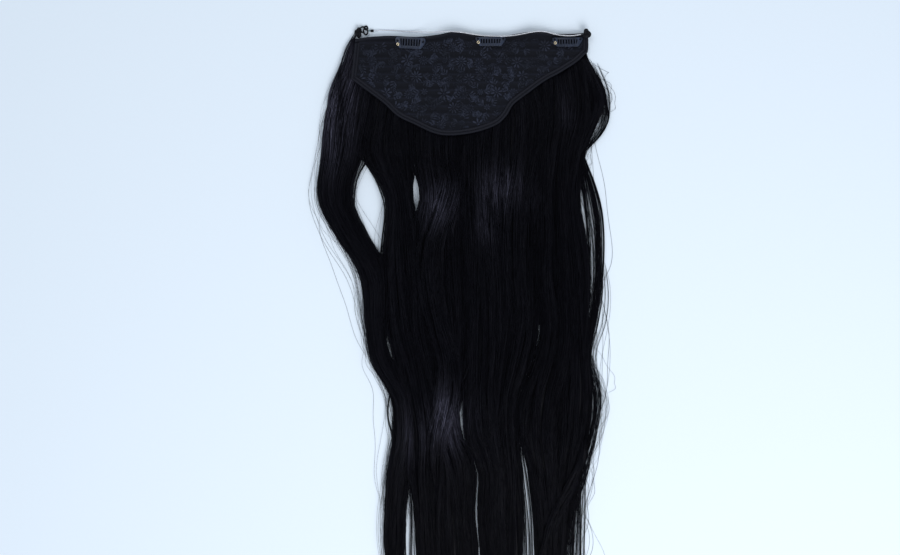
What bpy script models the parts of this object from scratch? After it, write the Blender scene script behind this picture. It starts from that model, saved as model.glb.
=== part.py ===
"""Halo hair extension: long wavy hair sewn in wefts under a lace panel.

Metres, +Z up. It lies with its lace side up. The origin is on the flat underside, below the middle of
the lace panel. +Y runs to the band that sits on the head, -Y to the tips of the hair.
"""
import math

import bmesh
import bpy
import numpy as np
from mathutils import Matrix, Vector
from mathutils.geometry import convex_hull_2d

# Clearance between pieces that touch
GAP = 0.0003

# Faces that differ by less than this are one face
FLAT_ANGLE = math.radians(0.5)

# Overall sizes
BASE_WIDTH = 0.249
HAIR_LENGTH = 0.640
HAIR_RISE = 0.022
PANEL_DEPTH = 0.110
ORIGIN_BELOW_EDGE = 0.050

# Hair under the lace, its thickness at the band's edge and at the far edge of the panel
BACKING_AT_EDGE = 0.0035
BACKING_AT_POINT = 0.0085
BACKING_INSET = 0.0004
HAIR_SLOPE = 0.40
HAIR_THIN = 0.0006
EDGE_SWAY = 0.008
LIFT = 0.003
LIFT_HALF_WIDTH = 0.027
LIFT_REACH = 0.045

# Sewn pieces of the base
HEM_WIDTH = 0.0035
HEM_THICKNESS = 0.0026
BINDING_WIDTH = 0.0058
BINDING_THICKNESS = 0.0027
LACE_THICKNESS = 0.0010
TRACK_THICKNESS = 0.0012
TRACK_WIDTH = 0.0030
TRACK_SPACING = 0.0084
TRACK_COUNT = 11
TRACK_STEP = 0.0078
PANEL_COLUMNS = 32
PANEL_ROWS = 9

# Comb clips
CLIP_LENGTH = 0.0316
CLIP_HOLE_SPACING = 0.0260
CLIP_HOLE_RADIUS = 0.0008
CLIP_BELOW_HOLES = 0.0076
CLIP_METAL = 0.0008
CLIP_EAR_RADIUS = 0.0030
CLIP_CORNER_RADIUS = 0.0022
CLIP_CORNER_IN = 0.0057
CLIP_BAR = 0.0021
CLIP_LOWER_BAR = 0.0030
COMB_TEETH = 7
COMB_PITCH = 0.0028
COMB_TOOTH_WIDTH = 0.0014
COMB_SETBACK = 0.0004
COMB_OVERHANG = 0.0004
RIVET_RADIUS = 0.0017
RIVET_HOLE_RADIUS = 0.0008
RIVET_RISE = 0.0006

# Halo wire, its crimp and the elastic at its ends
WIRE_DIAMETER = 0.0011
WIRE_RISE = 0.0113
WIRE_FROM_CORNER = 0.0196
WIRE_TO_CORNER = 0.0085
CRIMP_DIAMETER = 0.0027
CRIMP_LENGTH = 0.0036
COLLAR_DIAMETER = 0.0017
COLLAR_LENGTH = 0.0016
ELASTIC_DIAMETER = 0.0018
KNOT_LENGTH = 0.0112
KNOT_WIDTH = 0.0092
KNOT_RISE = 0.0062

# The band's edge in plan: across is a share of BASE_WIDTH, drop a share of EDGE_SWAY
BAND_EDGE = (
    # across, drop
    (-0.485, 0.96),
    (-0.430, 0.66),
    (-0.330, 0.50),
    (-0.230, 0.64),
    (-0.140, 0.38),
    (-0.062, 0.00),
    (0.020, 0.30),
    (0.130, 0.51),
    (0.200, 0.24),
    (0.275, 0.00),
    (0.370, 0.24),
    (0.430, 0.24),
    (0.500, 0.08),
)

# The panel's far edge in plan: across is a share of BASE_WIDTH, down a share of PANEL_DEPTH
PANEL_EDGE = (
    # across, down
    (-0.503, 0.450),
    (-0.430, 0.573),
    (-0.362, 0.690),
    (-0.308, 0.805),
    (-0.240, 0.882),
    (-0.128, 0.987),
    (-0.002, 0.975),
    (0.106, 0.898),
    (0.155, 0.800),
    (0.182, 0.700),
    (0.233, 0.608),
    (0.316, 0.470),
    (0.377, 0.395),
    (0.454, 0.282),
    (0.498, 0.182),
)

# Where the band lifts off what it lies on, as shares of BASE_WIDTH
LIFTED_AT = (-0.062, 0.275)

# Locks of hair. Down is a share of HAIR_LENGTH from the band's edge, across and half are shares of
# BASE_WIDTH, rise is a share of HAIR_RISE
LOCKS = {
    "left_outer": (
        # down, across, half, rise
        (0.010, -0.450, 0.054, 0.12),
        (0.035, -0.449, 0.078, 0.15),
        (0.080, -0.488, 0.086, 0.24),
        (0.140, -0.526, 0.094, 0.38),
        (0.200, -0.542, 0.085, 0.52),
        (0.270, -0.570, 0.073, 0.62),
        (0.330, -0.505, 0.071, 0.60),
        (0.400, -0.410, 0.063, 0.52),
        (0.480, -0.403, 0.044, 0.48),
        (0.540, -0.375, 0.044, 0.52),
        (0.600, -0.290, 0.045, 0.58),
        (0.660, -0.278, 0.044, 0.56),
        (0.720, -0.303, 0.049, 0.48),
        (0.790, -0.319, 0.046, 0.42),
        (0.860, -0.322, 0.046, 0.36),
        (0.930, -0.305, 0.034, 0.26),
        (0.980, -0.286, 0.010, 0.12),
    ),
    "left_inner": (
        (0.080, -0.309, 0.093, 0.22),
        (0.140, -0.339, 0.093, 0.34),
        (0.200, -0.347, 0.110, 0.52),
        (0.270, -0.300, 0.061, 0.62),
        (0.330, -0.291, 0.071, 0.60),
        (0.400, -0.282, 0.087, 0.56),
        (0.480, -0.263, 0.093, 0.54),
        (0.540, -0.228, 0.092, 0.60),
        (0.600, -0.195, 0.093, 0.68),
        (0.660, -0.176, 0.087, 0.66),
        (0.720, -0.174, 0.083, 0.58),
        (0.790, -0.165, 0.067, 0.50),
        (0.860, -0.154, 0.069, 0.42),
        (0.930, -0.144, 0.051, 0.30),
        (0.995, -0.123, 0.012, 0.12),
    ),
    "middle_left": (
        (0.120, -0.140, 0.106, 0.28),
        (0.200, -0.148, 0.097, 0.54),
        (0.270, -0.123, 0.089, 0.70),
        (0.330, -0.138, 0.104, 0.68),
        (0.400, -0.136, 0.110, 0.60),
        (0.480, -0.114, 0.106, 0.58),
        (0.540, -0.106, 0.089, 0.64),
        (0.600, -0.117, 0.070, 0.74),
        (0.660, -0.102, 0.068, 0.72),
        (0.720, -0.059, 0.085, 0.62),
        (0.790, -0.051, 0.068, 0.52),
        (0.860, -0.035, 0.067, 0.44),
        (0.930, -0.025, 0.051, 0.32),
        (1.000, -0.013, 0.012, 0.12),
    ),
    "middle": (
        (0.120, 0.060, 0.106, 0.28),
        (0.200, 0.042, 0.102, 0.56),
        (0.270, 0.038, 0.097, 0.74),
        (0.330, 0.047, 0.097, 0.70),
        (0.400, 0.059, 0.102, 0.60),
        (0.480, 0.064, 0.097, 0.58),
        (0.540, 0.055, 0.089, 0.64),
        (0.600, 0.048, 0.080, 0.70),
        (0.660, 0.058, 0.086, 0.68),
        (0.720, 0.097, 0.064, 0.60),
        (0.790, 0.092, 0.069, 0.52),
        (0.860, 0.116, 0.071, 0.44),
        (0.930, 0.125, 0.053, 0.32),
        (0.998, 0.140, 0.012, 0.12),
    ),
    "middle_right": (
        (0.070, 0.200, 0.080, 0.20),
        (0.140, 0.229, 0.102, 0.42),
        (0.200, 0.220, 0.093, 0.60),
        (0.270, 0.203, 0.085, 0.70),
        (0.330, 0.199, 0.081, 0.66),
        (0.400, 0.201, 0.074, 0.58),
        (0.480, 0.212, 0.076, 0.56),
        (0.540, 0.190, 0.071, 0.60),
        (0.600, 0.154, 0.052, 0.62),
        (0.660, 0.143, 0.058, 0.60),
        (0.720, 0.158, 0.060, 0.54),
        (0.790, 0.164, 0.062, 0.48),
        (0.860, 0.169, 0.052, 0.40),
        (0.930, 0.169, 0.042, 0.28),
        (0.985, 0.169, 0.012, 0.12),
    ),
    "right_inner": (
        (0.055, 0.370, 0.070, 0.18),
        (0.140, 0.381, 0.085, 0.46),
        (0.200, 0.360, 0.081, 0.60),
        (0.270, 0.343, 0.081, 0.66),
        (0.330, 0.347, 0.085, 0.62),
        (0.400, 0.352, 0.089, 0.56),
        (0.480, 0.378, 0.080, 0.56),
        (0.540, 0.360, 0.089, 0.62),
        (0.600, 0.316, 0.100, 0.66),
        (0.660, 0.298, 0.092, 0.62),
        (0.720, 0.316, 0.074, 0.54),
        (0.790, 0.333, 0.066, 0.48),
        (0.860, 0.345, 0.070, 0.40),
        (0.930, 0.331, 0.051, 0.30),
        (0.996, 0.322, 0.012, 0.12),
    ),
    "right_outer": (
        (0.025, 0.436, 0.055, 0.14),
        (0.080, 0.458, 0.051, 0.28),
        (0.140, 0.462, 0.055, 0.44),
        (0.200, 0.422, 0.061, 0.52),
        (0.270, 0.407, 0.055, 0.56),
        (0.330, 0.426, 0.061, 0.54),
        (0.400, 0.445, 0.064, 0.50),
        (0.480, 0.442, 0.061, 0.48),
        (0.540, 0.446, 0.056, 0.52),
        (0.600, 0.447, 0.066, 0.56),
        (0.660, 0.432, 0.068, 0.54),
        (0.720, 0.403, 0.055, 0.48),
        (0.790, 0.386, 0.042, 0.42),
        (0.860, 0.373, 0.036, 0.36),
        (0.930, 0.356, 0.027, 0.26),
        (0.972, 0.339, 0.010, 0.12),
    ),
    "right_curl": (
        (0.036, 0.475, 0.017, 0.16),
        (0.069, 0.511, 0.020, 0.24),
        (0.091, 0.537, 0.024, 0.30),
        (0.111, 0.549, 0.023, 0.32),
        (0.130, 0.536, 0.023, 0.32),
        (0.152, 0.509, 0.022, 0.32),
        (0.177, 0.482, 0.024, 0.34),
        (0.203, 0.453, 0.025, 0.36),
        (0.243, 0.424, 0.018, 0.26),
    ),
    "right_thin": (
        (0.498, 0.478, 0.020, 0.24),
        (0.526, 0.493, 0.018, 0.28),
        (0.551, 0.509, 0.017, 0.30),
        (0.581, 0.531, 0.019, 0.32),
        (0.611, 0.541, 0.018, 0.32),
        (0.647, 0.527, 0.017, 0.30),
        (0.688, 0.502, 0.017, 0.30),
        (0.733, 0.472, 0.019, 0.30),
        (0.774, 0.439, 0.023, 0.30),
        (0.812, 0.417, 0.028, 0.30),
        (0.861, 0.406, 0.028, 0.28),
        (0.936, 0.388, 0.019, 0.20),
        (0.978, 0.373, 0.008, 0.10),
    ),
    "crossing": (
        (0.655, 0.478, 0.018, 0.40),
        (0.696, 0.466, 0.021, 0.52),
        (0.733, 0.436, 0.026, 0.60),
        (0.771, 0.390, 0.030, 0.62),
        (0.812, 0.335, 0.032, 0.60),
        (0.861, 0.305, 0.030, 0.46),
        (0.919, 0.288, 0.022, 0.30),
        (0.966, 0.280, 0.008, 0.14),
    ),
    "top_swirl": (
        (0.185, -0.126, 0.030, 0.36),
        (0.220, -0.096, 0.056, 0.66),
        (0.251, -0.080, 0.066, 0.84),
        (0.300, -0.112, 0.072, 0.94),
        (0.358, -0.160, 0.070, 0.86),
        (0.424, -0.166, 0.064, 0.76),
        (0.482, -0.140, 0.062, 0.76),
        (0.540, -0.096, 0.062, 0.86),
        (0.597, -0.088, 0.068, 1.00),
        (0.655, -0.116, 0.066, 0.94),
        (0.705, -0.140, 0.050, 0.74),
        (0.760, -0.140, 0.020, 0.44),
    ),
}

# Straight steps down the binding's left side
RIM_SIDE_STEPS = 4

# Height of each lock's flat underside, so that no two that meet share a plane
LOCK_FLOORS = (0.00015, 0.00030, 0.00045, 0.00060, 0.00075, 0.00090)
LOCK_STATION = 0.024

# A lock's section: side is a share of its half width, up a share of its rise
LOCK_SECTION = (
    # side, up
    (-1.00, 0.00),
    (-0.93, 0.45),
    (-0.56, 0.87),
    (0.00, 1.00),
    (0.56, 0.87),
    (0.93, 0.45),
    (1.00, 0.00),
)

# Ribbon sections: in is a share of the width from the outer edge, up a share of the thickness
BINDING_SECTION = (
    # in, up
    (0.00, 0.00),
    (0.00, 0.70),
    (0.22, 1.00),
    (0.50, 0.70),
    (0.78, 1.00),
    (1.00, 0.72),
    (1.00, 0.00),
)
HEM_SECTION = ((0.00, 0.00), (0.00, 0.65), (0.35, 1.00), (1.00, 0.78), (1.00, 0.00))

# Clips: across is a share of BASE_WIDTH, down is from the band's line to the sewing holes
CLIPS = (
    # name, across, down, turn in degrees, metal above the holes
    ("left", -0.252, 0.0105, -3.0, 0.0046),
    ("middle", 0.086, 0.0078, 0.0, 0.0020),
    ("right", 0.410, 0.0084, 0.5, 0.0020),
)

# Route of the halo wire: along is a share of the way between its ends, beyond a share of EDGE_SWAY past
# the band's line, up a share of WIRE_RISE
WIRE_ROUTE = (
    # along, beyond, up
    (0.000, 0.240, 0.133),
    (0.022, 0.290, 0.115),
    (0.052, 0.325, 0.080),
    (0.098, 0.290, 0.062),
    (0.144, 0.200, 0.088),
    (0.190, 0.125, 0.195),
    (0.236, 0.100, 0.407),
    (0.282, 0.060, 0.699),
    (0.328, 0.060, 0.912),
    (0.374, 0.100, 1.000),
    (0.420, 0.010, 0.965),
    (0.466, -0.160, 0.850),
    (0.517, -0.340, 0.752),
    (0.567, -0.425, 0.717),
    (0.618, -0.460, 0.717),
    (0.669, -0.375, 0.743),
    (0.715, -0.200, 0.832),
    (0.756, 0.000, 0.938),
    (0.791, 0.110, 0.991),
    (0.830, 0.075, 0.947),
    (0.864, -0.150, 0.858),
    (0.903, -0.340, 0.788),
    (0.940, -0.410, 0.779),
    (0.968, -0.390, 0.823),
    (0.986, -0.325, 0.885),
    (1.000, -0.290, 0.947),
)
WIRE_POINTS = 62

# Elastic loops behind the crimp, in shares of ELASTIC_DIAMETER: back and beyond are from the wire's start
ELASTIC_LOOPS = (
    # name, back, beyond, height, half length, half width, turn in degrees
    ("elastic_ring", 4.778, 1.722, 0.611, 1.472, 1.472, 0.0),
    ("elastic_loop", 4.889, -0.667, 1.778, 2.278, 1.722, 100.0),
)

# Knots, in shares of KNOT_LENGTH: the left one from the wire's start, the right one from the hem's corner
LEFT_KNOT_BACK = 1.476
LEFT_KNOT_BELOW = 0.196
RIGHT_KNOT_IN = 0.22
RIGHT_KNOT_ABOVE = 0.115

MATERIALS = {
    # name: colour, roughness, metallic
    "hair": ((0.0060, 0.0058, 0.0085), 0.38, 0.0),
    "weft_thread": ((0.0120, 0.0120, 0.0180), 0.70, 0.0),
    "lace": ((0.0220, 0.0260, 0.0420), 0.80, 0.0),
    "ribbon": ((0.0190, 0.0220, 0.0360), 0.60, 0.0),
    "clip_paint": ((0.0450, 0.0600, 0.1050), 0.35, 0.3),
    "brass": ((0.7200, 0.5800, 0.3600), 0.25, 1.0),
    "clear_nylon": ((0.7800, 0.8200, 0.8800), 0.12, 0.0),
    "elastic": ((0.0100, 0.0100, 0.0150), 0.75, 0.0),
    "crimp": ((0.0080, 0.0080, 0.0110), 0.40, 0.0),
    "collar": ((0.2000, 0.3600, 0.4000), 0.30, 0.0),
}


def clear_scene():
    for item in list(bpy.data.objects):
        bpy.data.objects.remove(item, do_unlink=True)


def finish(item, name):
    """Gives an object a material of its own."""
    colour, roughness, metallic = MATERIALS[name]
    material = bpy.data.materials.new(item.name)
    material.use_nodes = True
    shader = material.node_tree.nodes["Principled BSDF"]
    shader.inputs["Base Color"].default_value = (*colour, 1.0)
    shader.inputs["Roughness"].default_value = roughness
    shader.inputs["Metallic"].default_value = metallic
    material.diffuse_color = (*colour, 1.0)
    item.data.materials.clear()
    item.data.materials.append(material)
    return item


def add_object(name, data):
    item = bpy.data.objects.new(name, data)
    bpy.context.scene.collection.objects.link(item)
    return item


def mesh_object(name, points, faces, flat_angle=0.0):
    """A closed mesh with its faces pointing out. Faces that differ by less than flat_angle are merged."""
    mesh = bpy.data.meshes.new(name)
    mesh.from_pydata([tuple(p) for p in points], [], faces)
    shape = bmesh.new()
    shape.from_mesh(mesh)
    bmesh.ops.recalc_face_normals(shape, faces=shape.faces)
    if flat_angle:
        merge_flat(shape, flat_angle)
    shape.to_mesh(mesh)
    shape.free()
    return add_object(name, mesh)


def merge_flat(shape, angle):
    bmesh.ops.dissolve_limit(shape, angle_limit=angle, verts=shape.verts, edges=shape.edges)


def smooth_rows(rows, steps):
    """Rows on a Catmull-Rom curve through the given rows, steps to each stretch."""
    given = np.array(rows, float)
    ends = np.vstack([2 * given[0] - given[1], given, 2 * given[-1] - given[-2]])
    found = []
    for before, start, end, after in zip(ends, ends[1:], ends[2:], ends[3:]):
        for step in range(steps):
            t = step / steps
            found.append(
                0.5
                * (
                    2 * start
                    + (end - before) * t
                    + (2 * before - 5 * start + 4 * end - after) * t**2
                    + (3 * start - before - 3 * end + after) * t**3
                )
            )
    found.append(given[-1])
    return np.array(found)


def even_rows(rows, count, spread):
    """Count rows along the smooth curve through rows, evenly spaced by the distances in spread."""
    fine = smooth_rows(rows, 8)
    steps = np.linalg.norm(np.diff(fine, axis=0) * np.array(spread), axis=1)
    along = np.concatenate([[0.0], np.cumsum(steps)])
    places = np.linspace(0.0, along[-1], count)
    return np.array([np.interp(places, along, column) for column in fine.T]).T


def loft(name, rings, flat_angle=0.0):
    """A closed skin over rings of equally many points, with flat ends."""
    size = len(rings[0])
    points = [p for ring in rings for p in ring]
    faces = [list(range(size)), list(range(len(points) - size, len(points)))]
    for ring in range(len(rings) - 1):
        low = ring * size
        for k in range(size):
            after = (k + 1) % size
            faces.append([low + k, low + after, low + size + after, low + size + k])
    return mesh_object(name, points, faces, flat_angle)


def grid_sheet(name, columns, rows, place, low, high, flat_angle=0.0):
    """A closed sheet over a grid in plan, between the heights low and high."""
    plan = [place(u / columns, v / rows) for u in range(columns + 1) for v in range(rows + 1)]
    points = [(x, y, high(x, y)) for x, y in plan] + [(x, y, low(x, y)) for x, y in plan]
    under = len(plan)
    step = rows + 1
    faces = []
    for u in range(columns):
        for v in range(rows):
            k = u * step + v
            quad = [k, k + 1, k + step + 1, k + step]
            faces.append(quad)
            faces.append([under + q for q in quad])
    rim = [u * step for u in range(columns + 1)]
    rim += [columns * step + v for v in range(1, rows + 1)]
    rim += [u * step + rows for u in range(columns - 1, -1, -1)]
    rim += [v for v in range(rows - 1, 0, -1)]
    for k, a in enumerate(rim):
        b = rim[(k + 1) % len(rim)]
        faces.append([a, b, under + b, under + a])
    return mesh_object(name, points, faces, flat_angle)


def apply_booleans(item, tools, operation, solver="EXACT"):
    """Cuts or joins each tool into item, in turn, and removes the tools."""
    for tool in tools:
        step = item.modifiers.new(operation, "BOOLEAN")
        step.operation = operation
        step.object = tool
        step.solver = solver
    bpy.context.view_layer.update()
    made = bpy.data.meshes.new_from_object(item.evaluated_get(bpy.context.evaluated_depsgraph_get()))
    item.modifiers.clear()
    item.data = made
    for tool in tools:
        bpy.data.objects.remove(tool, do_unlink=True)
    return item


def row_y(down):
    return ORIGIN_BELOW_EDGE - down


class Outline:
    """The base in plan, from the tables of its two edges."""

    def __init__(self):
        band = smooth_rows(BAND_EDGE, 6)
        self.band_x = band[:, 0] * BASE_WIDTH
        self.band_y = row_y(band[:, 1] * EDGE_SWAY)
        far = smooth_rows(PANEL_EDGE, 3)
        self.far = np.column_stack([far[:, 0] * BASE_WIDTH, row_y(far[:, 1] * PANEL_DEPTH)])
        band_line = np.column_stack([self.band_x, self.band_y])
        self.closed = np.vstack([self.rim(0.0), band_line[-2:0:-1]])

    def band(self, x):
        return float(np.interp(x, self.band_x, self.band_y))

    def rim(self, below):
        """The path round the panel from corner to corner. It starts and ends below the band's edge."""
        ends = []
        for x, far_end, inward in ((self.band_x[0], self.far[0], 1), (self.band_x[-1], self.far[-1], -1)):
            corner = np.array([x, self.band(x)])
            side = far_end - corner
            side /= np.linalg.norm(side)
            dip = max(corner[1] - self.band(x + inward * BINDING_WIDTH), 0.0)
            lean = BINDING_WIDTH * abs(side[0])
            ends.append(corner + side * (below + dip + lean if below else 0.0))
        left_top, right_top = ends
        down = [left_top + (self.far[0] - left_top) * k / RIM_SIDE_STEPS for k in range(RIM_SIDE_STEPS)]
        return np.array(down + list(self.far) + [right_top])

    def beyond(self, x, y):
        """Distance from a place to the base's outline, negative inside it."""
        ring = self.closed
        ahead = np.roll(ring, -1, axis=0) - ring
        away = np.array([x, y]) - ring
        share = np.clip((away * ahead).sum(1) / (ahead * ahead).sum(1), 0.0, 1.0)
        nearest = float(np.linalg.norm(away - ahead * share[:, None], axis=1).min())
        ends = np.roll(ring, -1, axis=0)
        spans = (ring[:, 1] > y) != (ends[:, 1] > y)
        slope = ahead[:, 0] / np.where(ahead[:, 1] == 0.0, 1.0, ahead[:, 1])
        crossing = ring[:, 0] + slope * (y - ring[:, 1])
        inside = (spans & (x < crossing)).sum() % 2 == 1
        return -nearest if inside else nearest

    def inset(self, path, distance):
        """The path moved into the panel, with mitred corners."""
        ahead = np.diff(path, axis=0)
        ahead /= np.linalg.norm(ahead, axis=1)[:, None]
        before = np.vstack([ahead[:1], ahead])
        after = np.vstack([ahead, ahead[-1:]])
        normals = np.column_stack([-(before + after)[:, 1], (before + after)[:, 0]])
        normals /= np.linalg.norm(normals, axis=1)[:, None]
        turn = np.clip((before * after).sum(1), -1.0, 1.0)
        return path + normals * (distance / np.sqrt((1.0 + turn) / 2.0))[:, None]


def lift(x, y):
    """How far the band stands off what it lies on."""
    fade = min(max((row_y(0.0) - y) / LIFT_REACH, 0.0), 1.0)
    fade = 1.0 - fade * fade * (3.0 - 2.0 * fade)
    total = 0.0
    for crest in LIFTED_AT:
        away = abs(x - crest * BASE_WIDTH) / LIFT_HALF_WIDTH
        if away < 1.0:
            total += 0.5 * (1.0 + math.cos(math.pi * away))
    return LIFT * total * fade


def backing_top(x, y):
    down = (row_y(0.0) - y) / PANEL_DEPTH
    return BACKING_AT_EDGE + (BACKING_AT_POINT - BACKING_AT_EDGE) * max(down, 0.0) + lift(x, y)


def panel_place(outline, inset, band_inset):
    """Maps shares across and down to a place in the panel, inset from its rim and from the band."""
    path = outline.inset(outline.rim(0.0), inset)
    edge = path[RIM_SIDE_STEPS:-1]
    left_top = np.array([path[0][0], outline.band(path[0][0]) - band_inset])
    right_top = np.array([path[-1][0], outline.band(path[-1][0]) - band_inset])

    def place(u, v):
        x_band = left_top[0] + (right_top[0] - left_top[0]) * u
        x_far = edge[0][0] + (edge[-1][0] - edge[0][0]) * u
        y_band = outline.band(x_band) - band_inset
        y_far = float(np.interp(x_far, edge[:, 0], edge[:, 1]))
        return x_band + (x_far - x_band) * v, y_band + (y_far - y_band) * v

    return place


def ribbon(name, path, inner, section, thickness):
    """A ribbon between a path and its inset copy, on top of the backing."""
    rings = []
    for outer_point, inner_point in zip(path, inner):
        ring = []
        for share, up in section:
            x, y = outer_point + (inner_point - outer_point) * share
            ring.append((x, y, backing_top(x, y) + GAP + up * thickness))
        rings.append(ring)
    return loft(name, rings)


def hair_limit(outline, x, y):
    """Height that keeps hair below the panel, and lets it rise on its way out."""
    return backing_top(x, y) - GAP + HAIR_SLOPE * outline.beyond(x, y)


def make_lock(name, rows, floor, outline):
    """A lock of hair with a domed section and a flat underside."""
    length = (rows[-1][0] - rows[0][0]) * HAIR_LENGTH
    count = max(4, round(length / LOCK_STATION) + 1)
    rings = []
    for down, across, half, rise in even_rows(rows, count, (HAIR_LENGTH, BASE_WIDTH, 0.0, 0.0)):
        y = row_y(down * HAIR_LENGTH)
        ring = []
        for side, up in LOCK_SECTION:
            x = (across + side * half) * BASE_WIDTH
            most = max(hair_limit(outline, x, y), floor + HAIR_THIN)
            ring.append((x, y, min(floor + up * (rise * HAIR_RISE - floor), most)))
        rings.append(ring)
    return loft(name, rings)


def make_hair(outline):
    """All locks, fused to the backing of hair under the lace."""
    place = panel_place(outline, BACKING_INSET, BACKING_INSET)
    backing = grid_sheet("hair", PANEL_COLUMNS, PANEL_ROWS, place, lift, backing_top)
    locks = [
        make_lock(name, rows, LOCK_FLOORS[number % len(LOCK_FLOORS)], outline)
        for number, (name, rows) in enumerate(LOCKS.items())
    ]
    hair = apply_booleans(backing, locks, "UNION", "MANIFOLD")
    shape = bmesh.new()
    shape.from_mesh(hair.data)
    bmesh.ops.remove_doubles(shape, verts=shape.verts, dist=0.00002)
    merge_flat(shape, FLAT_ANGLE)
    shape.to_mesh(hair.data)
    shape.free()
    return finish(hair, "hair")


def make_base(outline):
    """Weft tracks, lace, binding and hem, stacked on the backing."""
    under_hem = HEM_WIDTH + GAP
    rim = outline.rim(under_hem)
    finish(
        ribbon("binding", rim, outline.inset(rim, BINDING_WIDTH), BINDING_SECTION, BINDING_THICKNESS),
        "ribbon",
    )
    edge_x = np.linspace(outline.band_x[0], outline.band_x[-1], 41)
    edge = np.array([(x, outline.band(x)) for x in edge_x])
    hem = ribbon("top_hem", edge, edge - np.array([0.0, HEM_WIDTH]), HEM_SECTION, HEM_THICKNESS)
    finish(hem, "ribbon")

    lace_under = GAP + TRACK_THICKNESS + GAP
    place = panel_place(outline, BINDING_WIDTH + 3 * GAP, under_hem)

    def lace_low(x, y):
        return backing_top(x, y) + lace_under

    def lace_high(x, y):
        return lace_low(x, y) + LACE_THICKNESS

    lace = grid_sheet("lace_panel", PANEL_COLUMNS, PANEL_ROWS, place, lace_low, lace_high, FLAT_ANGLE)
    finish(lace, "lace")

    inner = outline.inset(outline.rim(0.0), BINDING_WIDTH + 3 * GAP)
    for number in range(TRACK_COUNT):
        y = row_y(EDGE_SWAY + HEM_WIDTH + TRACK_SPACING * number)
        left, right = track_ends(inner, y)
        if right - left > TRACK_SPACING:
            finish(make_track(f"weft_track_{number + 1:02d}", left, right, y), "weft_thread")


def track_ends(inner, y):
    """Where a level line crosses the inner rim, at the height that leaves the track clear of it."""
    ends = []
    for edge_y in (y - TRACK_WIDTH / 2, y + TRACK_WIDTH / 2):
        crossings = []
        for a, b in zip(inner, inner[1:]):
            if (a[1] - edge_y) * (b[1] - edge_y) <= 0 and a[1] != b[1]:
                crossings.append(a[0] + (b[0] - a[0]) * (edge_y - a[1]) / (b[1] - a[1]))
        crossings = crossings or [inner[0][0], inner[-1][0]]
        if len(crossings) == 1:
            crossings.append(inner[-1][0] if crossings[0] < 0 else inner[0][0])
        ends.append((min(crossings), max(crossings)))
    return max(e[0] for e in ends), min(e[1] for e in ends)


def make_track(name, left, right, y):
    """One sewn weft: a low ridge that follows the backing."""
    lifted = row_y(0.0) - y < LIFT_REACH
    count = max(2, round((right - left) / TRACK_STEP) + 1) if lifted else 2
    half = TRACK_WIDTH / 2
    section = ((-half, 0.0), (-half * 0.8, 0.8), (0.0, 1.0), (half * 0.8, 0.8), (half, 0.0))
    rings = []
    for x in np.linspace(left, right, count):
        rings.append(
            [(x, y + side, backing_top(x, y + side) + GAP + up * TRACK_THICKNESS) for side, up in section]
        )
    return loft(name, rings)


def circle(x, y, radius, count):
    return [
        Vector((x + radius * math.cos(math.tau * k / count), y + radius * math.sin(math.tau * k / count)))
        for k in range(count)
    ]


def plate(name, outline_points, low, high):
    """A flat plate with the given outline in plan."""
    rings = [[(p[0], p[1], z) for p in outline_points] for z in (low, high)]
    return loft(name, rings)


def clip_seat(x, y, turn):
    """Height that clears the lace and the binding below a whole clip."""
    tops = []
    for side in (-1, 0, 1):
        for up in (-CLIP_BELOW_HOLES, 0.0):
            across = side * CLIP_LENGTH / 2
            px = x + across * math.cos(turn) - up * math.sin(turn)
            py = y + across * math.sin(turn) + up * math.cos(turn)
            tops.append(backing_top(px, py))
    return max(tops) + GAP + BINDING_THICKNESS + GAP


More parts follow.
